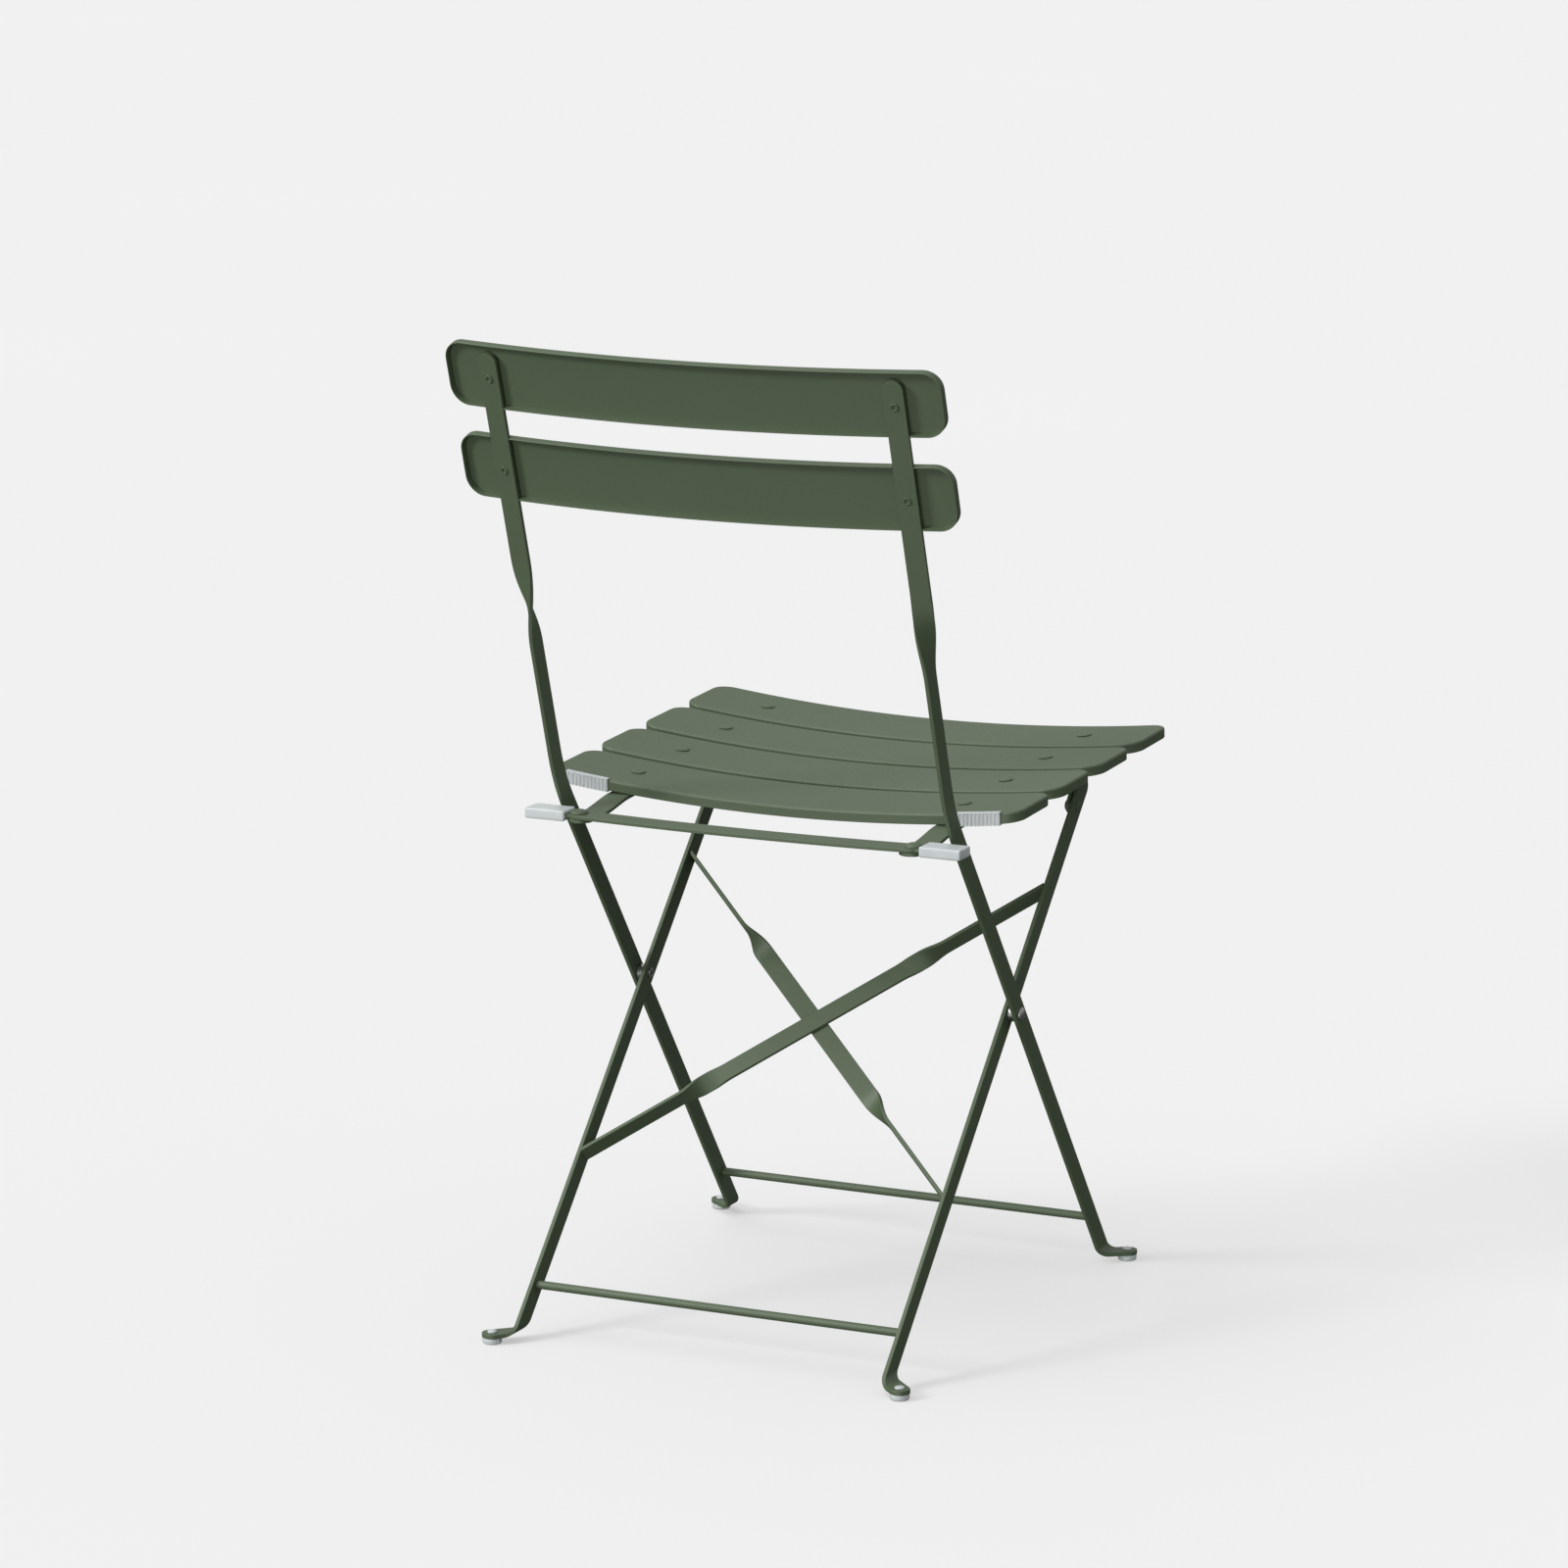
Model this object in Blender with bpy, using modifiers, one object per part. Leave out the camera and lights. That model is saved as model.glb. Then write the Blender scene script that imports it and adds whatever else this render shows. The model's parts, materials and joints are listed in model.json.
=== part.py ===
"""Folding bistro chair: two scissor frames of flat steel bar, four pressed seat slats, two back slats.

Metres, +Z up. The sitter faces -Y, +X is the sitter's left, and the floor is Z = 0.
The chair is symmetric about X = 0. Angles of the side view are slopes dy/dz or degrees from vertical.
"""
import math

import bmesh
import bpy
from mathutils import Matrix, Vector

# ---------------------------------------------------------------- driving dimensions
GAP = 0.0003                 # clearance between touching pieces

PIVOT = Vector((0.0, -0.0159, 0.2565))   # scissor axis, in the plane of symmetry
BAR_WIDTH = 0.0170           # flat bar of the legs and uprights
BAR_THICK = 0.0035
HOLE_RADIUS = 0.0033         # clearance hole for the 6 mm pins and glide stems

UPRIGHT_X = 0.1745           # middle plane of the front legs and uprights
UPRIGHT_SPLAY = 0.0015       # how far the flat upper part moves out
LEG_SLOPE = 0.727            # front leg, side view
BACK_SLOPE = 0.310           # upright above the seat, side view
LOWER_RIVET_Z = 0.7164
LOWER_RIVET_Y = PIVOT.y + 0.2225
BACK_RIVET_PITCH = 0.0804
UPRIGHT_END = 0.0220         # bar above the upper rivet
KNEE_RADIUS = 0.160          # bend at seat height
TWIST_MIDDLE_Z = 0.6040      # quarter twist of the upright
TWIST_LENGTH = 0.0780

REAR_LEG_X = 0.16495         # middle plane of the rear legs
REAR_SLOPE = 0.955
SEAT_HINGE_Z = 0.4020
REAR_LEG_END = 0.0275        # bar above the seat hinge
HINGE_EAR = {"inner": 0.1578, "thick": 0.0030, "top_half": 0.0115, "radius": 0.0062}
EAR_TOP_Z = 0.4360

FOOT_TIP_X = {"front": 0.2005, "rear": 0.1910}
FOOT_BEND_RADIUS = 0.00775   # of the bar's middle surface
GLIDE_HEIGHT = 0.0050

STRETCHER_RADIUS = 0.0035
FRONT_STRETCHER = (PIVOT.y - 0.1565, 0.0440)
REAR_STRETCHER = (PIVOT.y + 0.2085, 0.0402)

SHEET = 0.0012
ROLL_RADIUS = 0.0022         # edge of the pressed sheet
SLAT_CORNER = 0.0160
SEAT_SLAT = {"length": 0.4210, "width": 0.0730, "depth": 0.0090}
BACK_SLAT = {"length": 0.4310, "width": 0.0550, "depth": 0.0080}
BACK_SLAT_RISE = 0.0015      # slat middle above its rivets
DISH_RADIUS = 1.640          # seat and back slats bend to one radius

SEAT_RIVET_X = 0.1475
SEAT_FRONT_RIVET = (PIVOT.y - 0.1966, 0.4497)
SEAT_PITCH = 0.0821
SEAT_FALL = math.atan(0.0407)
SEAT_SLATS = 4

RAIL_WIDTH = 0.0200
RAIL_THICK = 0.0030
RAIL_DROP = 0.0103           # seat surface to rail top
RAIL_FRONT_Y = PIVOT.y - 0.2290
RAIL_STEP = (PIVOT.y + 0.0840, PIVOT.y + 0.1380)
RAIL_END_Y = PIVOT.y + 0.1630
CROSSBAR_Y = PIVOT.y + 0.1525
CROSSBAR_TOP = 0.4250
CROSSBAR_WIDTH = 0.0220
CROSSBAR_RIVET_X = 0.1495
SHOULDER_X = 0.1575           # the crossbar narrows here to its tongues
TONGUE_WIDTH = 0.0160
TONGUE_END_X = 0.1900
SLEEVE = {"inner": 0.1582, "outer": 0.1940, "front": 0.0105, "rear": 0.0110, "low": 0.4192, "high": 0.4278}
GUARD_X = (0.1572, SEAT_SLAT["length"] / 2 - SLAT_CORNER + 0.0004)

BRACE_WIDTH = 0.0160
BRACE_THICK = 0.0030
BRACE_LOW = 0.1765           # below and above the scissor axis, along the rear legs
BRACE_HIGH = 0.1175
BRACE_TWIST = (0.26, 0.735)   # middles of the two quarter twists, from low end to high end
BRACE_TWIST_LENGTH = 0.0450

SIDES = {"left": 1.0, "right": -1.0}
GREEN = (0.075, 0.095, 0.060)
PLASTIC = (0.70, 0.74, 0.75)
ZINC = (0.45, 0.46, 0.46)


# ---------------------------------------------------------------- scene helpers
def clear_scene():
    for thing in list(bpy.data.objects):
        bpy.data.objects.remove(thing, do_unlink=True)


def new_collection(name):
    collection = bpy.data.collections.new(name)
    bpy.context.scene.collection.children.link(collection)
    return collection


def make_material(name, colour, roughness, metallic):
    material = bpy.data.materials.new(name + "_finish")
    material.use_nodes = True
    shader = material.node_tree.nodes["Principled BSDF"]
    shader.inputs["Base Color"].default_value = (*colour, 1.0)
    shader.inputs["Roughness"].default_value = roughness
    shader.inputs["Metallic"].default_value = metallic
    return material


clear_scene()
PARTS = new_collection("folding_bistro_chair")
CUTTERS = new_collection("cutters")
FINISHES = {"paint": (GREEN, 0.55, 0.0), "plastic": (PLASTIC, 0.35, 0.0), "zinc": (ZINC, 0.35, 1.0)}


def add_object(name, mesh, finish, smooth=False):
    part = bpy.data.objects.new(name, mesh)
    PARTS.objects.link(part)
    mesh.materials.append(make_material(name, *FINISHES[finish]))
    if smooth:
        mesh.shade_smooth()
        mesh.set_sharp_from_angle(angle=math.radians(40))
    return part


def mesh_from(name, build):
    """Make a mesh with a bmesh function and turn its faces outwards."""
    work = bmesh.new()
    build(work)
    bmesh.ops.recalc_face_normals(work, faces=work.faces)
    mesh = bpy.data.meshes.new(name)
    work.to_mesh(mesh)
    work.free()
    return mesh


def loft(name, rings, finish, smooth=False):
    """Closed body through rings that have the same number of corners."""
    def build(work):
        rows = [[work.verts.new(corner) for corner in ring] for ring in rings]
        count = len(rows[0])
        for row, following in zip(rows, rows[1:]):
            for i in range(count):
                j = (i + 1) % count
                work.faces.new((row[i], row[j], following[j], following[i]))
        work.faces.new(rows[0])
        work.faces.new(rows[-1])
    return add_object(name, mesh_from(name, build), finish, smooth)


def turned(name, profile, place, axis, finish, steps=10):
    """Body turned about an axis; the profile of (radius, height) runs from its top to its bottom."""
    mesh = bpy.data.meshes.new(name)
    points = [(radius, 0.0, height) for radius, height in profile]
    mesh.from_pydata(points, [(i, i + 1) for i in range(len(points) - 1)], [])
    part = add_object(name, mesh, finish)
    screw = part.modifiers.new("turn", "SCREW")
    screw.axis = "Z"
    screw.angle = math.tau
    screw.steps = screw.render_steps = steps
    screw.use_merge_vertices = True
    screw.merge_threshold = 0.00001
    screw.use_smooth_shade = True
    part.location = place
    part.rotation_mode = "QUATERNION"
    part.rotation_quaternion = axis.normalized().to_track_quat("Z", "Y")
    return part


def rod(name, start, end, radius, finish):
    """Round bar between two points."""
    curve = bpy.data.curves.new(name, "CURVE")
    curve.dimensions = "3D"
    curve.bevel_depth = radius
    curve.bevel_resolution = 2
    curve.use_fill_caps = True
    spline = curve.splines.new("POLY")
    spline.points.add(1)
    for point, place in zip(spline.points, (start, end)):
        point.co = (*place, 1.0)
    part = bpy.data.objects.new(name, curve)
    PARTS.objects.link(part)
    curve.materials.append(make_material(name, *FINISHES[finish]))
    return part


def cutter(name, mesh):
    tool = bpy.data.objects.new(name, mesh)
    CUTTERS.objects.link(tool)
    tool.hide_render = True
    tool.display_type = "WIRE"
    return tool


def drill(part, place, axis, radius, depth, label, steps=12):
    """Cut a round hole of this depth, centred on place."""
    def build(work):
        turn = axis.normalized().to_track_quat("Z", "Y").to_matrix().to_4x4()
        bmesh.ops.create_cone(
            work, cap_ends=True, segments=steps, radius1=radius, radius2=radius, depth=depth,
            matrix=Matrix.Translation(place) @ turn)
    subtract(part, cutter(f"{part.name}_{label}", mesh_from(label, build)))


def mill(part, size, frame, label):
    """Cut a box of this size, centred in a frame."""
    def build(work):
        bmesh.ops.create_cube(work, size=1.0, matrix=frame @ Matrix.Diagonal((*size, 1.0)))
    subtract(part, cutter(f"{part.name}_{label}", mesh_from(label, build)))


def subtract(part, tool):
    cut = part.modifiers.new(tool.name, "BOOLEAN")
    cut.operation = "DIFFERENCE"
    cut.solver = "EXACT"
    cut.object = tool


def ease(value):
    """Smooth step from 0 to 1."""
    t = min(max(value, 0.0), 1.0)
    return t * t * (3.0 - 2.0 * t)


# ---------------------------------------------------------------- flat bar
def bar_ring(centre, across, through, width, thick):
    """Four corners of a bar's section."""
    w = across * width / 2
    t = through * thick / 2
    return [centre + w + t, centre - w + t, centre - w - t, centre + w - t]


def round_end_width(distance, width):
    """Width of a bar with a half-round end, this far from its tip."""
    radius = width / 2
    if distance >= radius:
        return width
    return 2.0 * math.sqrt(radius ** 2 - (radius - distance) ** 2)


def round_end_steps(width, count=5):
    """Distances from the tip that follow the half-round end at equal angles."""
    radius = width / 2
    angles = [math.radians(12 + 78 * i / (count - 1)) for i in range(count)]
    return [radius * (1.0 - math.cos(angle)) for angle in angles]


def foot_rings(side, middle_x, tip_x, start, slope):
    """Rings of a leg's end: down its slope, out through a bend about a line along Y, and a round tab.

    start is the leg's centre (y, z) where the bend begins, and slope is dy per metre going down.
    """
    radius = FOOT_BEND_RADIUS
    half = BAR_WIDTH / 2
    angle = math.atan(slope)
    quarter = radius * math.pi / 2
    eye = tip_x - half - (middle_x + radius) + quarter
    eye_y = start[0] + slope * eye
    chord = half / math.cos(angle)
    lean = half * math.sin(angle)
    tip = eye + half

    def edges(down):
        """Lowest and highest Y of the flattened bar at a distance below the bend line."""
        centre = start[0] + slope * down
        low, high = centre - chord, centre + chord
        arc = math.sqrt(max(half ** 2 - (down - eye) ** 2, 0.0))
        if down > eye - lean:
            high = eye_y + arc
        if down > eye + lean:
            low = eye_y - arc
        return low, high

    def bent(offset, down, y):
        """Place of a point of the flattened bar after the bend; offset is towards the outer face."""
        reach = radius - offset
        if down <= 0.0:
            return Vector((side * (middle_x + offset), y, start[1] - down))
        if down < quarter:
            turn = down / radius
            x = middle_x + radius - reach * math.cos(turn)
            return Vector((side * x, y, start[1] - reach * math.sin(turn)))
        return Vector((side * (middle_x + radius + down - quarter), y, start[1] - reach))

    steps = [quarter * i / 5 for i in range(6)]
    round_start = eye - abs(lean)
    steps += [round_start + (tip - round_start) * math.sin(math.radians(80 * i / 6)) for i in range(7)]
    rings = []
    for down in steps:
        low, high = edges(down)
        rings.append([bent(BAR_THICK / 2, down, high), bent(BAR_THICK / 2, down, low),
                      bent(-BAR_THICK / 2, down, low), bent(-BAR_THICK / 2, down, high)])
    glide = Vector((side * (middle_x + radius + eye - quarter), eye_y, 0.0))
    return rings, glide


def cross_holes(part, side, middle_x, places):
    """Holes along X through a leg at (y, z) places."""
    for i, (y, z) in enumerate(places):
        drill(part, Vector((side * middle_x, y, z)), Vector((1, 0, 0)), HOLE_RADIUS, 0.012, f"pin_hole_{i}")


# ---------------------------------------------------------------- front frame
BACK_ANGLE = math.atan(BACK_SLOPE)
LEG_ANGLE = math.atan(LEG_SLOPE)
BACK_UP = Vector((0, math.sin(BACK_ANGLE), math.cos(BACK_ANGLE)))
BACK_REAR = Vector((0, math.cos(BACK_ANGLE), -math.sin(BACK_ANGLE)))
BOW_TILT = math.atan(UPRIGHT_X / DISH_RADIUS)
FOOT_BEND_Z = GLIDE_HEIGHT + GAP + BAR_THICK / 2 + FOOT_BEND_RADIUS
LEG_LOW_Z = FOOT_BEND_Z + 0.030          # last straight section above a foot


def back_point(distance, x=0.0):
    """Point on the upright's straight upper centre line, measured up from the lower rivet."""
    return Vector((x, LOWER_RIVET_Y, LOWER_RIVET_Z)) + BACK_UP * distance


def leg_y(z):
    return PIVOT.y + LEG_SLOPE * (z - PIVOT.z)


def knee():
    """Point where the upright's two straight centre lines meet, and the bend's tangent length."""
    base = LOWER_RIVET_Y - BACK_SLOPE * LOWER_RIVET_Z
    z = (base - PIVOT.y + LEG_SLOPE * PIVOT.z) / (LEG_SLOPE - BACK_SLOPE)
    return Vector((0, leg_y(z), z)), KNEE_RADIUS * math.tan((LEG_ANGLE - BACK_ANGLE) / 2)


def upright_track():
    """Centre line from the top end down to the last upright section: (place, angle from vertical)."""
    corner, tangent = knee()
    top = BACK_RIVET_PITCH + UPRIGHT_END
    track = [(back_point(top - step), BACK_ANGLE) for step in round_end_steps(BAR_WIDTH)]
    twist_centre = (TWIST_MIDDLE_Z - LOWER_RIVET_Z) / math.cos(BACK_ANGLE)
    twist_top = twist_centre + TWIST_LENGTH / 2
    track.append((back_point(BACK_RIVET_PITCH / 2), BACK_ANGLE))
    track.append((back_point(0.0), BACK_ANGLE))
    track += [(back_point(twist_top - TWIST_LENGTH * i / 12), BACK_ANGLE) for i in range(13)]
    bend_top = corner + BACK_UP * tangent
    centre = bend_top + Vector((0, -math.cos(BACK_ANGLE), math.sin(BACK_ANGLE))) * KNEE_RADIUS
    for i in range(7):
        angle = BACK_ANGLE + (LEG_ANGLE - BACK_ANGLE) * i / 6
        place = centre + Vector((0, math.cos(angle), -math.sin(angle))) * KNEE_RADIUS
        track.append((place, angle))
    track.append((Vector((0, leg_y(LEG_LOW_Z), LEG_LOW_Z)), LEG_ANGLE))
    return track


def make_upright(label, side):
    """Upper end flat against the back slats, a quarter twist, the knee, the front leg and its foot."""
    track = upright_track()
    top = track[0][0] + BACK_UP * round_end_steps(BAR_WIDTH)[0]
    twist_z = TWIST_LENGTH * math.cos(BACK_ANGLE)
    rings = []
    for place, angle in track:
        progress = ease((TWIST_MIDDLE_Z + twist_z / 2 - place.z) / twist_z)
        turn = BOW_TILT + (math.pi / 2 - BOW_TILT) * progress
        rear = Vector((0, math.cos(angle), -math.sin(angle)))
        out = Vector((side, 0, 0))
        through = rear * math.cos(turn) + out * math.sin(turn)
        across = out * math.cos(turn) - rear * math.sin(turn)
        centre = place + out * (UPRIGHT_X + UPRIGHT_SPLAY * (1.0 - progress))
        width = round_end_width((top - place).length, BAR_WIDTH)
        rings.append(bar_ring(centre, across, through, width, BAR_THICK))
    foot, glide = foot_rings(
        side, UPRIGHT_X, FOOT_TIP_X["front"], (leg_y(FOOT_BEND_Z), FOOT_BEND_Z), -LEG_SLOPE)
    rings += [[ring[1], ring[0], ring[3], ring[2]] for ring in foot]
    upright = loft(f"upright_{label}", rings, "paint")
    for i in range(2):
        place = back_point(BACK_RIVET_PITCH * i, side * (UPRIGHT_X + UPRIGHT_SPLAY))
        drill(upright, place, back_rivet_axis(side), 0.0028, 0.010, f"rivet_hole_{i}")
    cross_holes(upright, side, UPRIGHT_X, [(PIVOT.y, PIVOT.z)])
    drill(upright, glide + Vector((0, 0, 0.007)), Vector((0, 0, 1)), HOLE_RADIUS, 0.012, "glide_hole")
    make_glide(f"glide_front_{label}", glide)


def back_rivet_axis(side):
    """Rearward normal of the bowed back at the uprights."""
    return (BACK_REAR * math.cos(BOW_TILT) + Vector((side, 0, 0)) * math.sin(BOW_TILT)).normalized()


def make_glide(name, place):
    """Snap-in foot glide: pad, stem and button as one moulding."""
    tab_top = GLIDE_HEIGHT + GAP + BAR_THICK
    profile = [
        (0.0, tab_top + 0.0022), (0.0024, tab_top + 0.0020), (0.0040, tab_top + 0.0012),
        (0.0043, tab_top + GAP), (0.0030, tab_top + GAP), (0.0030, GLIDE_HEIGHT),
        (0.0075, GLIDE_HEIGHT), (0.0081, GLIDE_HEIGHT - 0.0010), (0.0078, 0.0008), (0.0070, 0.0), (0.0, 0.0)]
    turned(name, profile, place, Vector((0, 0, 1)), "plastic", steps=12)


# ---------------------------------------------------------------- pressed slats
def slat_outline(length, width, corner, inset, long_steps=8, corner_steps=3):
    """One long side of the plan from -X to +X, with its end corners: (x, y) with y above zero."""
    radius = corner - inset
    cx, cy = length / 2 - corner, width / 2 - corner
    points = []
    for i in range(corner_steps + 1):
        angle = math.pi - math.pi / 2 * i / corner_steps
        points.append((-cx + radius * math.cos(angle), cy + radius * math.sin(angle)))
    points += [(-cx + 2 * cx * i / long_steps, cy + radius) for i in range(1, long_steps)]
    for i in range(corner_steps + 1):
        angle = math.pi / 2 - math.pi / 2 * i / corner_steps
        points.append((cx + radius * math.cos(angle), cy + radius * math.sin(angle)))
    return points


def dish(x, rivet_x):
    """Height of the bent sheet above its height at the rivets."""
    return (x * x - rivet_x * rivet_x) / (2 * DISH_RADIUS)


def make_slat(name, size, rivet_x, frame):
    """Pressed tray: bent top sheet, rolled edge and skirt, one thickness throughout."""
    loops = [(0.0, -size["depth"])]
    for i in range(3):
        angle = math.pi / 2 * i / 2
        loops.append((ROLL_RADIUS * (1 - math.cos(angle)), -ROLL_RADIUS * (1 - math.sin(angle))))

    def build(work):
        rows = []
        for inset, height in loops:
            half = slat_outline(size["length"], size["width"], SLAT_CORNER, inset)
            ring = half + [(x, -y) for x, y in reversed(half)]
            rows.append([work.verts.new((x, y, height + dish(x, rivet_x))) for x, y in ring])
        count = len(rows[0])
        for row, following in zip(rows, rows[1:]):
            for i in range(count):
                j = (i + 1) % count
                work.faces.new((row[i], row[j], following[j], following[i]))
        top = rows[-1]
        for i in range(count // 2 - 1):
            work.faces.new((top[i], top[i + 1], top[count - 2 - i], top[count - 1 - i]))

    mesh = mesh_from(name, build)
    if sum(face.normal.z for face in mesh.polygons) < 0:
        mesh.flip_normals()
    slat = add_object(name, mesh, "paint", smooth=True)
    slat.matrix_world = frame
    shell = slat.modifiers.new("sheet", "SOLIDIFY")
    shell.thickness = SHEET
    shell.offset = -1.0
    return slat


def back_frame(i):
    """Frame of a back slat: X along it, Y up the back, Z out of its front face."""
    front = BACK_SLAT["depth"] - BAR_THICK / 2
    place = back_point(BACK_RIVET_PITCH * i + BACK_SLAT_RISE) - BACK_REAR * front
    turn = Matrix((Vector((1, 0, 0)), BACK_UP, -BACK_REAR)).transposed()
    return Matrix.Translation(place) @ turn.to_4x4()


def make_back_slat(name, i):
    """Slat whose rims are notched so that the uprights lie inside the tray."""
    rivet_x = UPRIGHT_X + UPRIGHT_SPLAY
    slat = make_slat(name, BACK_SLAT, rivet_x, back_frame(i))
    for label, side in SIDES.items():
        place = back_point(BACK_RIVET_PITCH * i, side * rivet_x)
        axis = back_rivet_axis(side)
        drill(slat, place - axis * 0.006, axis, 0.0028, 0.010, f"rivet_hole_{label}")
        sideways = BACK_UP.cross(axis)
        turn = Matrix((sideways, BACK_UP, axis)).transposed().to_4x4()
        reach = BACK_SLAT["width"] / 2 + 0.004
        for edge in (-1, 1) if i == 0 else (-1,):
            frame = Matrix.Translation(place + BACK_UP * edge * reach) @ turn
            mill(slat, (BAR_WIDTH + 2 * GAP, 0.020, BAR_THICK + 2 * GAP), frame, f"notch_{label}_{edge}")
    return slat


def make_back_rivets():
    """Semi-tubular rivets: dome in front, shoulder between sheet and bar, hollow end behind."""
    rivet_x = UPRIGHT_X + UPRIGHT_SPLAY
    bar_rear = BAR_THICK / 2
    sheet_front = -(BACK_SLAT["depth"] - BAR_THICK / 2)
    sheet_rear = sheet_front + SHEET
    profile = [
        (0.0, bar_rear - 0.0050), (0.0019, bar_rear - 0.0050), (0.0019, bar_rear + 0.0008),
        (0.0025, bar_rear + 0.0012), (0.0032, bar_rear + 0.0009), (0.0034, bar_rear + GAP),
        (0.0025, bar_rear + GAP), (0.0025, -bar_rear - GAP), (0.0042, -bar_rear - GAP),
        (0.0042, sheet_rear + GAP), (0.0025, sheet_rear + GAP), (0.0025, sheet_front - GAP),
        (0.0058, sheet_front - GAP), (0.0050, sheet_front - 0.0009), (0.0030, sheet_front - 0.0013),
        (0.0, sheet_front - 0.0014)]
    for level, i in (("lower", 0), ("upper", 1)):
        for label, side in SIDES.items():
            place = back_point(BACK_RIVET_PITCH * i, side * rivet_x)
            turned(f"back_rivet_{level}_{label}", profile, place, back_rivet_axis(side), "paint")


def make_front_frame():
    for label, side in SIDES.items():
        make_upright(label, side)
    inner = UPRIGHT_X - BAR_THICK / 2 - GAP
    rod("front_stretcher_rod", (-inner, *FRONT_STRETCHER), (inner, *FRONT_STRETCHER), STRETCHER_RADIUS, "paint")
    make_back_slat("back_slat_lower", 0)
    make_back_slat("back_slat_upper", 1)
    make_back_rivets()


# ---------------------------------------------------------------- scissor pivots
def make_pivots():
    """Pin and spacing washer on each side of the scissor axis."""
    outer = UPRIGHT_X + BAR_THICK / 2
    front_inner = UPRIGHT_X - BAR_THICK / 2
    rear_outer = REAR_LEG_X + BAR_THICK / 2
    rear_inner = REAR_LEG_X - BAR_THICK / 2
    pin = [
        (0.0, outer + 0.0030), (0.0022, outer + 0.0028), (0.0042, outer + 0.0020), (0.0054, outer + 0.0010),
        (0.0056, outer + GAP), (0.0030, outer + GAP), (0.0030, rear_inner - GAP), (0.0044, rear_inner - GAP),
        (0.0040, rear_inner - 0.0016), (0.0018, rear_inner - 0.0018), (0.0018, rear_inner + 0.0010),
        (0.0, rear_inner + 0.0010)]
    washer = [
        (HOLE_RADIUS, front_inner - GAP), (0.0070, front_inner - GAP), (0.0070, rear_outer + GAP),
        (HOLE_RADIUS, rear_outer + GAP), (HOLE_RADIUS, front_inner - GAP)]
    for label, side in SIDES.items():
        turned(f"scissor_pin_{label}", pin, PIVOT, Vector((side, 0, 0)), "zinc", steps=12)
        turned(f"scissor_washer_{label}", washer, PIVOT, Vector((side, 0, 0)), "zinc", steps=12)


# ---------------------------------------------------------------- rear frame
REAR_ANGLE = math.atan(REAR_SLOPE)
REAR_DOWN = Vector((0, math.sin(REAR_ANGLE), -math.cos(REAR_ANGLE)))
REAR_NORMAL = Vector((0, math.cos(REAR_ANGLE), math.sin(REAR_ANGLE)))


def rear_y(z):
    return PIVOT.y - REAR_SLOPE * (z - PIVOT.z)


HINGE = Vector((0, rear_y(SEAT_HINGE_Z), SEAT_HINGE_Z))


def make_rear_leg(label, side):
    centre = Vector((side * REAR_LEG_X, 0, 0))
    through = Vector((side, 0, 0))
    top = HINGE - REAR_DOWN * REAR_LEG_END
    rings = []
    for step in round_end_steps(BAR_WIDTH):
        place = top + REAR_DOWN * step + centre
        rings.append(bar_ring(place, -REAR_NORMAL, through, round_end_width(step, BAR_WIDTH), BAR_THICK))
    place = Vector((0, rear_y(LEG_LOW_Z), LEG_LOW_Z)) + centre
    rings.append(bar_ring(place, -REAR_NORMAL, through, BAR_WIDTH, BAR_THICK))
    foot, glide = foot_rings(
        side, REAR_LEG_X, FOOT_TIP_X["rear"], (rear_y(FOOT_BEND_Z), FOOT_BEND_Z), REAR_SLOPE)
    rings += [[ring[1], ring[0], ring[3], ring[2]] for ring in foot]
    leg = loft(f"rear_leg_{label}", rings, "paint")
    cross_holes(leg, side, REAR_LEG_X, [(PIVOT.y, PIVOT.z), (HINGE.y, HINGE.z)])
    drill(leg, glide + Vector((0, 0, 0.007)), Vector((0, 0, 1)), HOLE_RADIUS, 0.012, "glide_hole")
    make_glide(f"glide_rear_{label}", glide)


def brace_track():
    """Centre line of a brace as (x, distance down the legs) with its twist in radians, and its heading."""
    wall = REAR_LEG_X - BAR_THICK / 2 - GAP
    start = Vector((wall, BRACE_LOW))
    end = Vector((-wall, -BRACE_HIGH))
    run = end - start
    track = [(start, 0.0)]
    for middle, rising in zip(BRACE_TWIST, (True, False)):
        for i in range(9):
            along = middle + (i / 8 - 0.5) * BRACE_TWIST_LENGTH / run.length
            amount = ease(i / 8) if rising else 1.0 - ease(i / 8)
            track.append((start + run * along, amount * math.pi / 2))
    track.append((end, 0.0))
    return track, math.atan2(run.y, run.x)


def make_brace(name, side, layer):
    """Flat bar from low on one leg to high on the other: mitred ends on edge, middle turned flat."""
    track, heading = brace_track()
    tangent = Vector((side * math.cos(heading), 0, 0)) + REAR_DOWN * math.sin(heading)
    sideways = tangent.cross(REAR_NORMAL)
    rings = []
    for place, twist in track:
        turn = -side * twist
        centre = PIVOT + Vector((side * place.x, 0, 0)) + REAR_DOWN * place.y + REAR_NORMAL * layer
        across = REAR_NORMAL * math.cos(turn) + sideways * math.sin(turn)
        through = sideways * math.cos(turn) - REAR_NORMAL * math.sin(turn)
        rings.append(bar_ring(centre, across, through, BRACE_WIDTH, BRACE_THICK))
    for ring, (place, _) in ((rings[0], track[0]), (rings[-1], track[-1])):
        for i, corner in enumerate(ring):
            ring[i] = corner - tangent * ((corner.x - side * place.x) / tangent.x)
    loft(name, rings, "paint")


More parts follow.
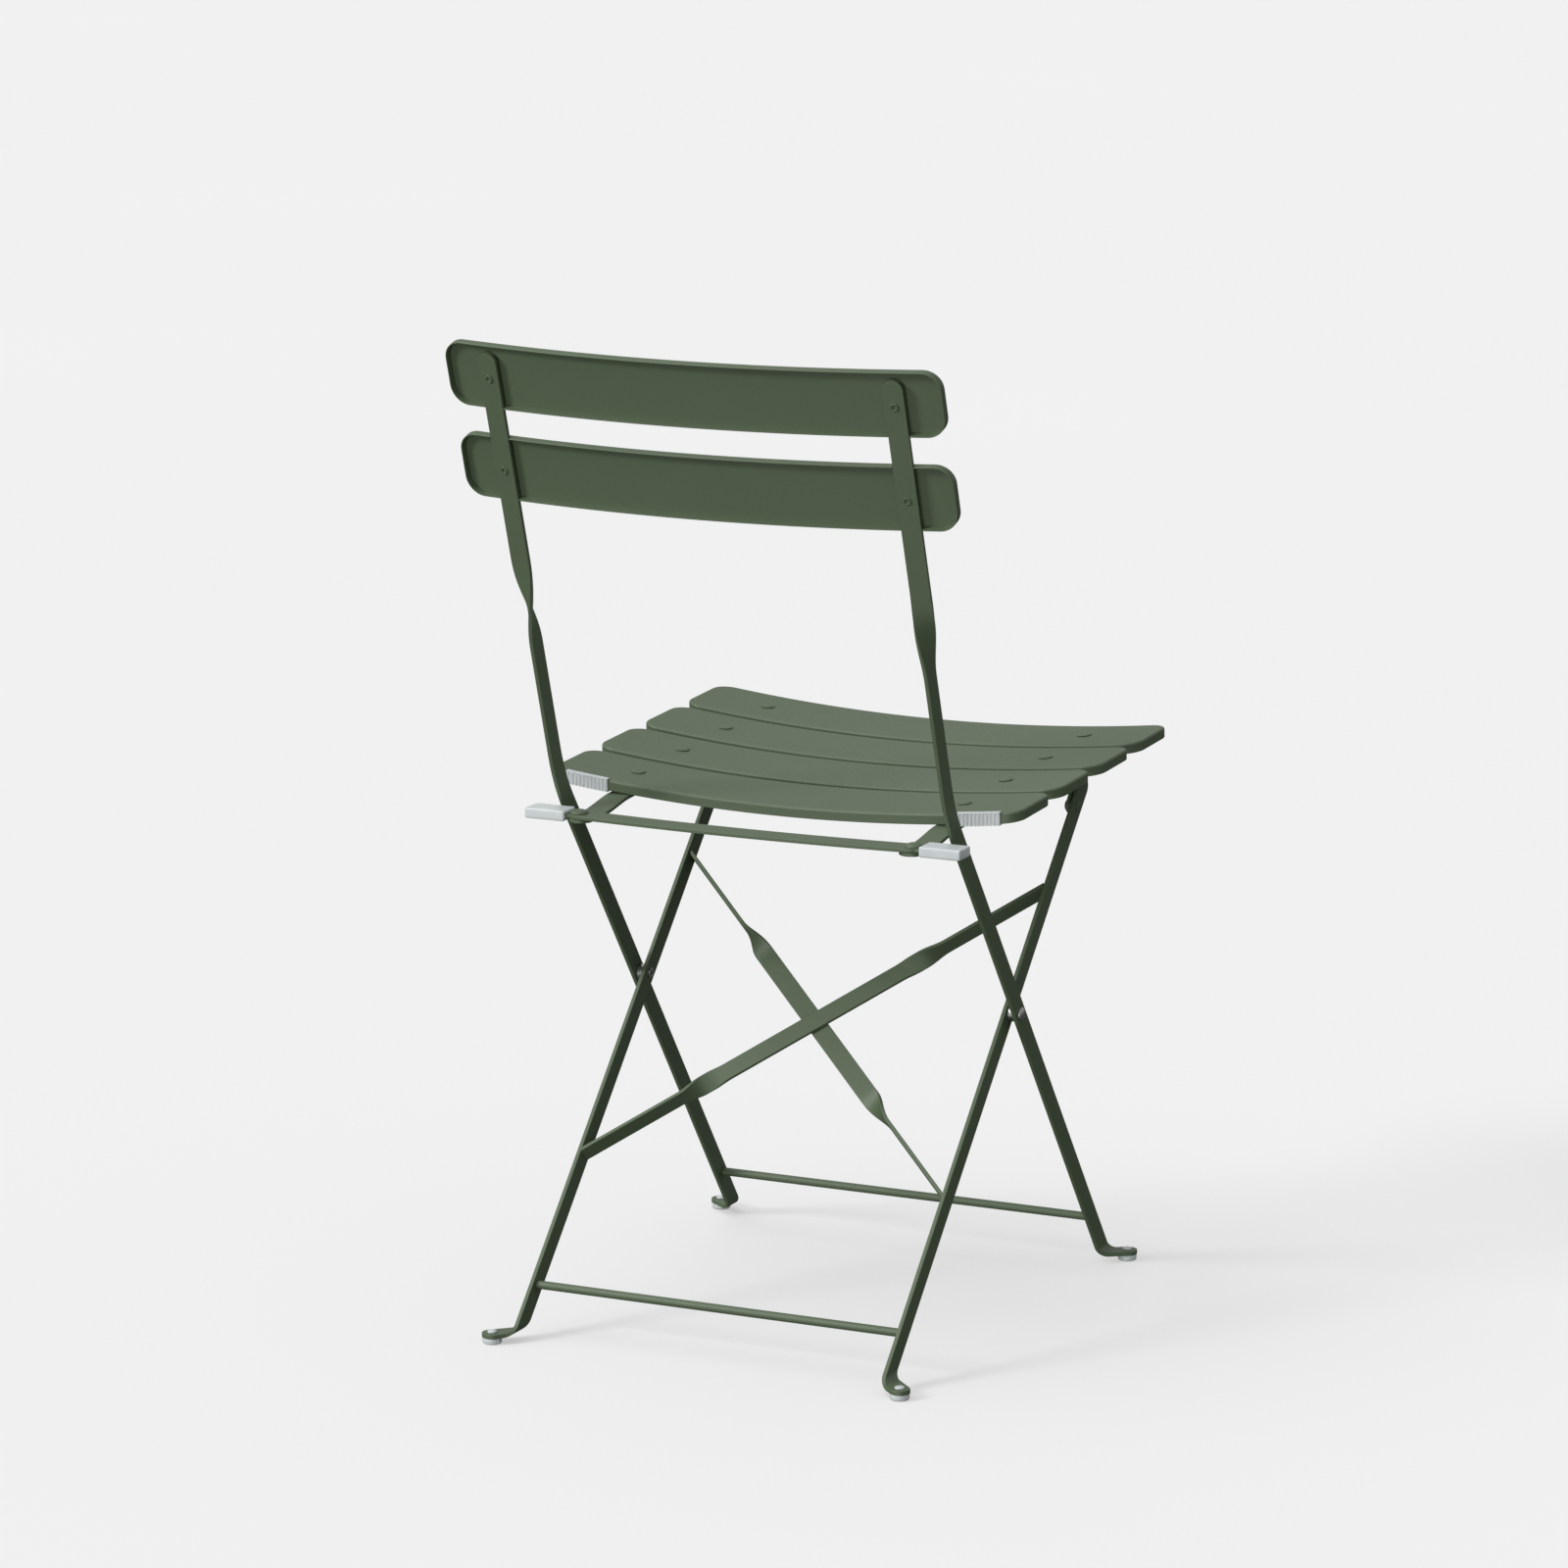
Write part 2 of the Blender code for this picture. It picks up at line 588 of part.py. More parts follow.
def make_rear_frame():
    for label, side in SIDES.items():
        make_rear_leg(label, side)
    inner = REAR_LEG_X - BAR_THICK / 2 - GAP
    rod("rear_stretcher_rod", (-inner, *REAR_STRETCHER), (inner, *REAR_STRETCHER), STRETCHER_RADIUS, "paint")
    layer = BRACE_THICK / 2 + GAP / 2
    make_brace("cross_brace_rear", 1.0, layer)
    make_brace("cross_brace_front", -1.0, -layer)


# ---------------------------------------------------------------- seat
def seat_z(y):
    """Height of the seat surface over the rivets."""
    return SEAT_FRONT_RIVET[1] - (y - SEAT_FRONT_RIVET[0]) * math.tan(SEAT_FALL)


def seat_frame(i):
    y = SEAT_FRONT_RIVET[0] + SEAT_PITCH * math.cos(SEAT_FALL) * i
    return Matrix.Translation((0, y, seat_z(y))) @ Matrix.Rotation(-SEAT_FALL, 4, "X")


def seat_rivet_axis(side):
    """Normal of the dished sheet at the rivets, in the slat's own frame."""
    return Vector((-side * SEAT_RIVET_X / DISH_RADIUS, 0, 1)).normalized()


def make_seat_slats():
    under_rail = -RAIL_DROP - RAIL_THICK
    profile = [
        (0.0, 0.0014), (0.0034, 0.0013), (0.0056, 0.0010), (0.0060, GAP), (0.0025, GAP),
        (0.0025, -SHEET - GAP), (0.0045, -SHEET - GAP), (0.0045, -RAIL_DROP + 0.0007),
        (0.0025, -RAIL_DROP + 0.0007), (0.0025, under_rail - 0.0007), (0.0040, under_rail - 0.0007),
        (0.0034, under_rail - 0.0020), (0.0, under_rail - 0.0022)]
    for i in range(SEAT_SLATS):
        frame = seat_frame(i)
        slat = make_slat(f"seat_slat_{i + 1}", SEAT_SLAT, SEAT_RIVET_X, frame)
        for label, side in SIDES.items():
            place = frame @ Vector((side * SEAT_RIVET_X, 0, 0))
            axis = frame.to_3x3() @ seat_rivet_axis(side)
            drill(slat, place, axis, 0.0028, 0.008, f"rivet_hole_{label}")
            turned(f"seat_rivet_{i + 1}_{label}", profile, place, axis, "paint")


def rail_track():
    """Centre line of a rail: straight under the slats, then a step down and on under the crossbar."""
    front, step_start, step_end = RAIL_FRONT_Y, *RAIL_STEP
    under = CROSSBAR_TOP - RAIL_THICK - GAP
    places = [front + (step_start - front) * i / 4 for i in range(4)]
    places += [step_start + (step_end - step_start) * i / 8 for i in range(9)]
    places += [RAIL_END_Y - step for step in reversed(round_end_steps(RAIL_WIDTH))]
    track = []
    for y in places:
        drop = ease((y - step_start) / (step_end - step_start))
        high = seat_z(y) - RAIL_DROP
        top = high * (1 - drop) + under * drop
        track.append(Vector((0, y, top - RAIL_THICK / 2)))
    return track


def make_rail(label, side):
    track = rail_track()
    across = Vector((1, 0, 0))
    rings = []
    for i, place in enumerate(track):
        ahead = track[min(i + 1, len(track) - 1)] - track[max(i - 1, 0)]
        through = across.cross(ahead.normalized())
        centre = place + Vector((side * SEAT_RIVET_X, 0, 0))
        width = round_end_width(RAIL_END_Y - place.y, RAIL_WIDTH)
        rings.append(bar_ring(centre, across, through, width, RAIL_THICK))
    rail = loft(f"seat_rail_{label}", rings, "paint")
    for i in range(SEAT_SLATS):
        frame = seat_frame(i)
        place = frame @ (Vector((side * SEAT_RIVET_X, 0, 0)) - seat_rivet_axis(side) * RAIL_DROP)
        drill(rail, place, frame.to_3x3() @ seat_rivet_axis(side), 0.0028, 0.012, f"rivet_hole_{i}")
    drill(rail, crossbar_place(side * CROSSBAR_RIVET_X), Vector((0, 0, 1)), HOLE_RADIUS, 0.016, "crossbar_rivet_hole")


def crossbar_place(x):
    """The crossbar bows rearwards like the back slats, so that it clears them when folded."""
    bow = (SEAT_RIVET_X ** 2 - min(abs(x), SEAT_RIVET_X) ** 2) / (2 * DISH_RADIUS)
    return Vector((x, CROSSBAR_Y + bow, CROSSBAR_TOP - RAIL_THICK / 2))


def make_crossbar():
    """Flat bar across the rails' ends; past its round shoulders a narrower tongue carries each sleeve."""
    shoulder = [SHOULDER_X - step for step in reversed(round_end_steps(CROSSBAR_WIDTH))]
    half = [SEAT_RIVET_X * 0.9 * i / 5 for i in range(1, 6)] + shoulder + [TONGUE_END_X]
    places = [-x for x in reversed(half)] + [0.0] + half
    rings = []
    for x in places:
        lean = max(min(x, SEAT_RIVET_X), -SEAT_RIVET_X) / DISH_RADIUS
        along = Vector((1, 0 if abs(x) > SEAT_RIVET_X else -lean, 0)).normalized()
        across = Vector((0, 0, 1)).cross(along)
        width = TONGUE_WIDTH
        if abs(x) < SHOULDER_X:
            width = max(round_end_width(SHOULDER_X - abs(x), CROSSBAR_WIDTH), TONGUE_WIDTH)
        rings.append(bar_ring(crossbar_place(x), across, Vector((0, 0, 1)), width, RAIL_THICK))
    crossbar = loft("seat_crossbar", rings, "paint")
    under = CROSSBAR_TOP - 2 * RAIL_THICK - GAP
    profile = [
        (0.0, CROSSBAR_TOP + 0.0034), (0.0034, CROSSBAR_TOP + 0.0031), (0.0060, CROSSBAR_TOP + 0.0019),
        (0.0075, CROSSBAR_TOP + GAP), (0.0030, CROSSBAR_TOP + GAP), (0.0030, under - GAP),
        (0.0050, under - GAP), (0.0042, under - 0.0016), (0.0, under - 0.0018)]
    for label, side in SIDES.items():
        place = crossbar_place(side * CROSSBAR_RIVET_X)
        drill(crossbar, place, Vector((0, 0, 1)), HOLE_RADIUS, 0.010, f"hole_{label}")
        foot = Vector((place.x, place.y, 0.0))
        turned(f"crossbar_rivet_{label}", profile, foot, Vector((0, 0, 1)), "paint", steps=12)


def make_sleeve(label, side):
    """Plastic sleeve over the crossbar's tongue; it runs behind the upright and rests against it."""
    size = Vector((SLEEVE["outer"] - SLEEVE["inner"], SLEEVE["front"] + SLEEVE["rear"],
                   SLEEVE["high"] - SLEEVE["low"]))
    centre = Vector((side * (SLEEVE["outer"] + SLEEVE["inner"]) / 2,
                     CROSSBAR_Y + (SLEEVE["rear"] - SLEEVE["front"]) / 2, (SLEEVE["high"] + SLEEVE["low"]) / 2))

    def build(work):
        bmesh.ops.create_cube(work, size=1.0, matrix=Matrix.Translation(centre) @ Matrix.Diagonal((*size, 1.0)))
        bmesh.ops.bevel(work, geom=work.edges[:], offset=0.0014, segments=2, affect="EDGES", profile=0.5)
    sleeve = add_object(f"slide_sleeve_{label}", mesh_from("sleeve", build), "plastic")
    depth = TONGUE_END_X + GAP - SLEEVE["inner"] + 0.004
    place = Vector((side * (TONGUE_END_X + GAP - depth / 2), CROSSBAR_Y, CROSSBAR_TOP - RAIL_THICK / 2))
    mill(sleeve, (depth, TONGUE_WIDTH + 2 * GAP, RAIL_THICK + 2 * GAP), Matrix.Translation(place), "pocket")


def make_guard(label, side):
    """Clip-on edge guard of the rear slat, hooked over its roll and under its skirt by the upright."""
    edge = SEAT_SLAT["width"] / 2
    deep = -SEAT_SLAT["depth"]
    section = [
        (edge + 0.0017, 0.0012), (edge - 0.0026, 0.0012), (edge - 0.0026, GAP), (edge + GAP, GAP),
        (edge + GAP, deep - GAP), (edge - SHEET - GAP, deep - GAP), (edge - SHEET - GAP, deep + 0.0040),
        (edge - SHEET - 0.0015, deep + 0.0040), (edge - SHEET - 0.0015, deep - 0.0011),
        (edge + 0.0017, deep - 0.0011)]
    frame = seat_frame(SEAT_SLATS - 1)
    inner, outer = GUARD_X
    rings = []
    for i in range(5):
        x = inner + (outer - inner) * i / 4
        rings.append([frame @ Vector((side * x, y, z + dish(x, SEAT_RIVET_X))) for y, z in section])
    loft(f"edge_guard_{label}", rings, "plastic")




def make_seat_hinge(label, side):
    """Ear welded to the rail's outer edge, with the pin and washer that join it to the rear leg."""
    inner = HINGE_EAR["inner"]
    outer = inner + HINGE_EAR["thick"]
    outline = []
    for edge in (-1, 1):
        y = rear_y(EAR_TOP_Z) + edge * HINGE_EAR["top_half"]
        outline.append((y, seat_z(y) - RAIL_DROP - GAP))
    for i in range(9):
        angle = REAR_ANGLE - math.pi * i / 8
        radius = HINGE_EAR["radius"]
        outline.append((HINGE.y + radius * math.cos(angle), HINGE.z + radius * math.sin(angle)))
    rings = [[Vector((side * x, y, z)) for y, z in outline] for x in (inner, outer)]
    ear = loft(f"seat_hinge_ear_{label}", rings, "paint")
    drill(ear, Vector((side * (inner + outer) / 2, HINGE.y, HINGE.z)), Vector((1, 0, 0)), HOLE_RADIUS, 0.012, "hole")
    leg_inner = REAR_LEG_X - BAR_THICK / 2
    leg_outer = REAR_LEG_X + BAR_THICK / 2
    pin = [
        (0.0, leg_outer + 0.0015), (0.0030, leg_outer + 0.0013), (0.0046, leg_outer + 0.0008),
        (0.0048, leg_outer + GAP), (0.0030, leg_outer + GAP), (0.0030, inner - GAP), (0.0044, inner - GAP),
        (0.0040, inner - 0.0016), (0.0, inner - 0.0018)]
    washer = [
        (HOLE_RADIUS, leg_inner - GAP), (0.0052, leg_inner - GAP), (0.0052, outer + GAP),
        (HOLE_RADIUS, outer + GAP), (HOLE_RADIUS, leg_inner - GAP)]
    turned(f"seat_hinge_pin_{label}", pin, HINGE, Vector((side, 0, 0)), "paint", steps=12)
    turned(f"seat_hinge_washer_{label}", washer, HINGE, Vector((side, 0, 0)), "zinc", steps=12)


def make_seat():
    make_seat_slats()
    make_crossbar()
    for label, side in SIDES.items():
        make_rail(label, side)
        make_sleeve(label, side)
        make_guard(label, side)
        make_seat_hinge(label, side)


def main():
    make_front_frame()
    make_pivots()
    make_rear_frame()
    make_seat()


main()
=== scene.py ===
"""Looks of the folding bistro chair: olive powder coat, zinc pins and pale moulded plastic.

Every CAD node gets a finer piece with rounded edges that rides on the node's own body.
Metres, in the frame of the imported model: the sitter faces -Y and the floor is Z = 0.
"""

import json
import math

import bmesh
import bpy
from mathutils import Matrix, Vector


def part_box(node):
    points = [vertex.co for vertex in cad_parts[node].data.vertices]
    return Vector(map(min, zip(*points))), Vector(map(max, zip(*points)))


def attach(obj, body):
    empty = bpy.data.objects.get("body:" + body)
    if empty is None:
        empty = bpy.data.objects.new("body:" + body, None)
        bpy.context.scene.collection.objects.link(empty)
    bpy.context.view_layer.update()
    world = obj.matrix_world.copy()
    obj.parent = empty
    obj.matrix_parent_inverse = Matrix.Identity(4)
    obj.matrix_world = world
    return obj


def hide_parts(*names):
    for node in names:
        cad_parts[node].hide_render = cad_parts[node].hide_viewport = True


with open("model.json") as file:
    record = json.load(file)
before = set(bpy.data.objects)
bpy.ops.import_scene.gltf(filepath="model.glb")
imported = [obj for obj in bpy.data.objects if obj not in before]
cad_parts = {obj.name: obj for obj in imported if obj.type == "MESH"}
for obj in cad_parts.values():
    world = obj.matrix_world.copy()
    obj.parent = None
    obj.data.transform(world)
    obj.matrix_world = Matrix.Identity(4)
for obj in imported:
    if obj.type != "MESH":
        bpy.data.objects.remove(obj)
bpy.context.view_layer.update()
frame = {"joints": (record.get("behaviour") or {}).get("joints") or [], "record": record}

RECORD = frame["record"]
JOINTS = {joint["name"]: joint for joint in frame["joints"]}
BODY_OF = {node: body for body, nodes in RECORD["behaviour"]["bodies"].items() for node in nodes}
SLOT_OF = {part["node"]: part["material_slot"] for part in RECORD["subparts"]}

# ---------------------------------------------------------------- dimensions shared with the CAD model
GAP = 0.0003                 # clearance between pieces that touch
PIVOT = Vector(JOINTS["fold_hinge"]["pos_m"])
HINGE = Vector(JOINTS["seat_hinge"]["pos_m"])
BAR_WIDTH = 0.0170
BAR_THICK = 0.0035
BAR_EDGE = 0.0005            # rounding of rolled flat bar
EDGE_BREAK = 0.0003          # bevel on rod ends, ears and skirt lips
LEG_END_RISE = 0.0300        # last plain ring of a leg, above its foot bend

UPRIGHT_X = 0.1745
UPRIGHT_SPLAY = 0.0015
LEG_SLOPE = 0.727
BACK_SLOPE = 0.310
LOWER_RIVET_Z = 0.7164
LOWER_RIVET_Y = PIVOT.y + 0.2225
BACK_RIVET_PITCH = 0.0804
UPRIGHT_END = 0.0220
KNEE_RADIUS = 0.160
TWIST_MIDDLE_Z = 0.6040
TWIST_LENGTH = 0.0780

REAR_LEG_X = 0.16495
REAR_SLOPE = 0.955
REAR_LEG_END = 0.0275
HINGE_EAR = {"inner": 0.1578, "thick": 0.0030, "top_half": 0.0115, "radius": 0.0062}
EAR_TOP_Z = 0.4360

FOOT_TIP_X = {"front": 0.2005, "rear": 0.1910}
FOOT_BEND_RADIUS = 0.00775
GLIDE_HEIGHT = 0.0050
GLIDE_STEM = 0.0030
GLIDE_BUTTON = 0.0042
GLIDE_BUTTON_EDGE = 0.0009
GLIDE_DOME = (0.0040, 0.0012)
STRETCHER_RADIUS = 0.0035

SHEET = 0.0012
ROLL_RADIUS = 0.0022
SLAT_CORNER = 0.0160
SEAT_SLAT = {"length": 0.4210, "width": 0.0730, "depth": 0.0090}
BACK_SLAT = {"length": 0.4310, "width": 0.0550, "depth": 0.0080}
BACK_SLAT_RISE = 0.0015
DISH_RADIUS = 1.640
NOTCH_HEIGHT = 0.0200
NOTCH_RAISE = 0.0040         # the notch cutter's middle, beyond the slat's edge

SEAT_RIVET_X = 0.1475
SEAT_FRONT_RIVET = (PIVOT.y - 0.1966, 0.4497)
SEAT_PITCH = 0.0821
SEAT_FALL = math.atan(0.0407)
SEAT_SLATS = 4

RAIL_WIDTH = 0.0200
RAIL_THICK = 0.0030
RAIL_DROP = 0.0103
RAIL_FRONT_Y = PIVOT.y - 0.2290
RAIL_STEP = (PIVOT.y + 0.0840, PIVOT.y + 0.1380)
RAIL_END_Y = PIVOT.y + 0.1630
CROSSBAR_Y = PIVOT.y + 0.1525
CROSSBAR_TOP = 0.4250
CROSSBAR_WIDTH = 0.0220
CROSSBAR_RIVET_X = 0.1495
SHOULDER_X = 0.1575
TONGUE_WIDTH = 0.0160
TONGUE_END_X = 0.1900

BRACE_WIDTH = 0.0160
BRACE_THICK = 0.0030
BRACE_LOW = 0.1765
BRACE_HIGH = 0.1175
BRACE_TWIST = (0.26, 0.735)
BRACE_TWIST_LENGTH = 0.0450

# Domed heads and tails are (radius, height).
RIVET_SHANK = 0.0025
BACK_RIVET_HEAD = (0.0058, 0.0012)
BACK_RIVET_SPACER = 0.0042
BACK_RIVET_BORE = 0.0019
BACK_RIVET_BORE_DEPTH = 0.0050
ROLLED_END = {"middle": 0.00265, "half": 0.00075, "height": 0.0009}
SEAT_RIVET_HEAD = (0.0060, 0.0007)
SEAT_RIVET_TAIL = (0.0040, 0.0015)
SEAT_RIVET_SPACER = 0.0045
SEAT_RIVET_PLAY = 0.0007     # room for the tilt of the dished slat
CROSSBAR_RIVET_HEAD = (0.0075, 0.0031)
CROSSBAR_RIVET_TAIL = (0.0050, 0.0015)
PIN_RADIUS = 0.0030
SCISSOR_HEAD = (0.0056, 0.0027)
HINGE_HEAD = (0.0048, 0.0012)
WASHER_BORE = 0.0033
SCISSOR_WASHER = {"radius": 0.0070, "bevel": 0.0004}
HINGE_WASHER_RADIUS = 0.0052
# The scissor pin's inner end, spread and dimpled by the press: (radius, rise from the leg's face).
PRESSED_END = ((0.0043, GAP), (0.0044, 0.0009), (0.0038, 0.0017), (0.0027, 0.0019), (0.0019, 0.0016),
               (0.0018, -0.0010), (0.0, -0.0010))

SLEEVE_EDGE = 0.0014
SLEEVE_POCKET_OVERRUN = 0.0040
GUARD_INNER = 0.1572
GUARD_END_PLAY = 0.0004
GUARD_RIBS = 11
GUARD_RIB_DEPTH = 0.0007
GUARD_TOP = 0.0012
GUARD_LAP = 0.0026
GUARD_OUTSIDE = 0.0017
GUARD_WALL = 0.0015
GUARD_SOLE = 0.0011
GUARD_HOOK = 0.0040

SIDES = {"left": 1.0, "right": -1.0}


# ---------------------------------------------------------------- materials
NOISE_LOW = 0.3              # the band that noise mostly stays in
NOISE_HIGH = 0.7


def new_material(name):
    material = bpy.data.materials.new(name)
    material.use_nodes = True
    nodes = material.node_tree.nodes
    return material, nodes, material.node_tree.links, nodes["Principled BSDF"]


def add_noise(nodes, links, scale, detail=2.0, roughness=0.5):
    """Noise in the object's own metres."""
    place = nodes.new("ShaderNodeTexCoord")
    noise = nodes.new("ShaderNodeTexNoise")
    noise.inputs["Scale"].default_value = scale
    noise.inputs["Detail"].default_value = detail
    noise.inputs["Roughness"].default_value = roughness
    links.new(place.outputs["Object"], noise.inputs["Vector"])
    return noise.outputs["Fac"]


def add_ramp(nodes, links, source, low, high):
    """Colour ramp between two colours, over the middle of the noise."""
    ramp = nodes.new("ShaderNodeValToRGB")
    ramp.color_ramp.elements[0].position = NOISE_LOW
    ramp.color_ramp.elements[1].position = NOISE_HIGH
    ramp.color_ramp.elements[0].color = (*low, 1.0)
    ramp.color_ramp.elements[1].color = (*high, 1.0)
    links.new(source, ramp.inputs["Fac"])
    return ramp.outputs["Color"]


def add_range(nodes, links, source, low, high):
    """Map noise around its middle to a range of values."""
    spread = nodes.new("ShaderNodeMapRange")
    spread.inputs["From Min"].default_value = NOISE_LOW
    spread.inputs["From Max"].default_value = NOISE_HIGH
    spread.inputs["To Min"].default_value = low
    spread.inputs["To Max"].default_value = high
    links.new(source, spread.inputs["Value"])
    return spread.outputs["Result"]


def add_mix(nodes, links, first, second, amount):
    mix = nodes.new("ShaderNodeMix")
    mix.data_type = "RGBA"
    mix.inputs["Factor"].default_value = amount
    links.new(first, mix.inputs["A"])
    links.new(second, mix.inputs["B"])
    return mix.outputs["Result"]


def add_bump(nodes, links, shader, source, distance, strength):
    bump = nodes.new("ShaderNodeBump")
    bump.inputs["Distance"].default_value = distance
    bump.inputs["Strength"].default_value = strength
    links.new(source, bump.inputs["Height"])
    links.new(bump.outputs["Normal"], shader.inputs["Normal"])


def paint_material():
    """Powder coat: fine orange peel, slightly uneven gloss, a trace of light and dark in the colour."""
    material, nodes, links, shader = new_material("olive_powder_coat")
    broad = add_noise(nodes, links, 7.0, 3.0)
    grain = add_noise(nodes, links, 1400.0, 2.0, 0.6)
    tone = add_ramp(nodes, links, broad, (0.085, 0.120, 0.067), (0.094, 0.130, 0.075))
    speck = add_ramp(nodes, links, grain, (0.072, 0.106, 0.055), (0.106, 0.142, 0.085))
    links.new(add_mix(nodes, links, tone, speck, 0.4), shader.inputs["Base Color"])
    peel = add_noise(nodes, links, 420.0, 3.0, 0.55)
    links.new(add_range(nodes, links, peel, 0.44, 0.54), shader.inputs["Roughness"])
    add_bump(nodes, links, shader, peel, 0.00022, 0.22)
    return material


def plastic_material():
    """Natural nylon: pale, cloudy and a little see-through."""
    material, nodes, links, shader = new_material("natural_nylon")
    cloud = add_noise(nodes, links, 60.0, 3.0)
    tone = add_ramp(nodes, links, cloud, (0.74, 0.79, 0.81), (0.84, 0.88, 0.89))
    links.new(tone, shader.inputs["Base Color"])
    satin = add_noise(nodes, links, 500.0, 2.0)
    links.new(add_range(nodes, links, satin, 0.30, 0.42), shader.inputs["Roughness"])
    add_bump(nodes, links, shader, satin, 0.0001, 0.15)
    shader.inputs["Subsurface Weight"].default_value = 0.35
    shader.inputs["Subsurface Radius"].default_value = (0.004, 0.004, 0.004)
    shader.inputs["Subsurface Scale"].default_value = 1.0
    shader.inputs["Transmission Weight"].default_value = 0.30
    return material


def zinc_material():
    """Zinc plating: grey metal with a fine uneven sheen."""
    material, nodes, links, shader = new_material("zinc_plating")
    cloud = add_noise(nodes, links, 260.0, 4.0, 0.6)
    tone = add_ramp(nodes, links, cloud, (0.42, 0.43, 0.42), (0.60, 0.60, 0.58))
    links.new(tone, shader.inputs["Base Color"])
    links.new(add_range(nodes, links, cloud, 0.28, 0.45), shader.inputs["Roughness"])
    add_bump(nodes, links, shader, cloud, 0.0001, 0.2)
    shader.inputs["Metallic"].default_value = 1.0
    return material


MATERIALS = {"green_paint": paint_material(), "white_plastic": plastic_material(), "zinc": zinc_material()}


# ---------------------------------------------------------------- mesh helpers
TURN_STEPS = 40
AXIS_RADIUS = 0.00002        # profile points on the axis keep a tiny ring


def dress(node, mesh, sharp=40):
    """Make a piece that stands for a CAD node and rides on its body, crisp at edges above the sharp angle."""
    piece = bpy.data.objects.new(node + "_skin", mesh)
    bpy.context.scene.collection.objects.link(piece)
    mesh.shade_smooth()
    mesh.set_sharp_from_angle(angle=math.radians(sharp))
    mesh.materials.clear()
    mesh.materials.append(MATERIALS[SLOT_OF[node]])
    even = piece.modifiers.new("even_shading", "WEIGHTED_NORMAL")
    even.keep_sharp = True
    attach(piece, BODY_OF[node])
    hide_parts(node)
    return piece


def mesh_from(name, build):
    work = bmesh.new()
    build(work)
    bmesh.ops.recalc_face_normals(work, faces=work.faces)
    mesh = bpy.data.meshes.new(name)
    work.to_mesh(mesh)
    work.free()
    return mesh


def loft_mesh(name, rings, closed=False):
    """Skin through rings that have the same number of corners; capped unless closed on itself."""
    def build(work):
        rows = [[work.verts.new(corner) for corner in ring] for ring in rings]
        count = len(rows[0])
        pairs = list(zip(rows, rows[1:]))
        if closed:
            pairs.append((rows[-1], rows[0]))
        for row, following in pairs:
            for i in range(count):
                j = (i + 1) % count
                work.faces.new((row[i], row[j], following[j], following[i]))
        if not closed:
            work.faces.new(rows[0])
            work.faces.new(rows[-1])
    return mesh_from(name, build)


def turned_mesh(name, profile, place, axis, ring=False):
    """Turned body about an axis through place; profile points are (radius, height)."""
    turn = Matrix.Translation(place) @ axis.normalized().to_track_quat("Z", "Y").to_matrix().to_4x4()
    spokes = [math.tau * i / TURN_STEPS for i in range(TURN_STEPS)]
    rows = []
    for radius, height in profile:
        reach = max(radius, AXIS_RADIUS)
        rows.append([turn @ Vector((reach * math.cos(a), reach * math.sin(a), height)) for a in spokes])
    return loft_mesh(name, rows, closed=ring)


def dome(size, base, steps, down=False):
    """Profile of a domed head from crown to rim, or from rim to crown where it points down."""
    radius, height = size
    turns = [math.pi / 2 * i / steps for i in range(steps + 1)]
    if down:
        return [(radius * math.cos(a), base - height * math.sin(a)) for a in turns]
    return [(radius * math.sin(a), base + height * math.cos(a)) for a in turns]


def carve(mesh, tools):
    """The mesh less each tool mesh."""
    block = bpy.data.objects.new("block", mesh)
    bpy.context.scene.collection.objects.link(block)
    made = [block]
    for tool in tools:
        cutter = bpy.data.objects.new("cutter", tool)
        bpy.context.scene.collection.objects.link(cutter)
        made.append(cutter)
        cut = block.modifiers.new("cut", "BOOLEAN")
        cut.operation = "DIFFERENCE"
        cut.solver = "EXACT"
        cut.object = cutter
    graph = bpy.context.evaluated_depsgraph_get()
    carved = bpy.data.meshes.new_from_object(block.evaluated_get(graph))
    for thing in made:
        bpy.data.objects.remove(thing)
    return carved


def box_mesh(size, place):
    def build(work):
        bmesh.ops.create_cube(work, size=1.0, matrix=place @ Matrix.Diagonal((*size, 1.0)))
    return mesh_from("box", build)


def round_box(size, place, radius):
    def build(work):
        bmesh.ops.create_cube(work, size=1.0, matrix=place @ Matrix.Diagonal((*size, 1.0)))
        bmesh.ops.bevel(work, geom=work.edges[:], offset=radius, segments=4, affect="EDGES", profile=0.5)
    return mesh_from("round_box", build)


def ease(value):
    """Smooth rise from 0 to 1."""
    t = min(max(value, 0.0), 1.0)
    return t * t * (3.0 - 2.0 * t)


# ---------------------------------------------------------------- flat bar
def rounded_section(width, thick):
    """Corners of a bar's section as (across, through), with rounded edges."""
    radius = min(BAR_EDGE, width * 0.45, thick * 0.45)
    points = []
    for corner, (u, v) in enumerate(((1, 1), (-1, 1), (-1, -1), (1, -1))):
        for i in range(4):
            angle = math.pi / 2 * (corner + i / 3)
            points.append((u * (width / 2 - radius) + radius * math.cos(angle),
                           v * (thick / 2 - radius) + radius * math.sin(angle)))
    return points


def bar_ring(centre, across, through, width, thick):
    return [centre + across * u + through * v for u, v in rounded_section(width, thick)]


def round_end_width(distance, width):
    """Width of a half-round end at a distance from its tip."""
    radius = width / 2
    if distance >= radius:
        return width
    return 2.0 * math.sqrt(radius ** 2 - (radius - distance) ** 2)


def round_end_steps(width):
    """Distances from the tip that follow the half-round end at equal angles."""
    return [width / 2 * (1.0 - math.cos(math.radians(6 + 84 * i / 13))) for i in range(14)]


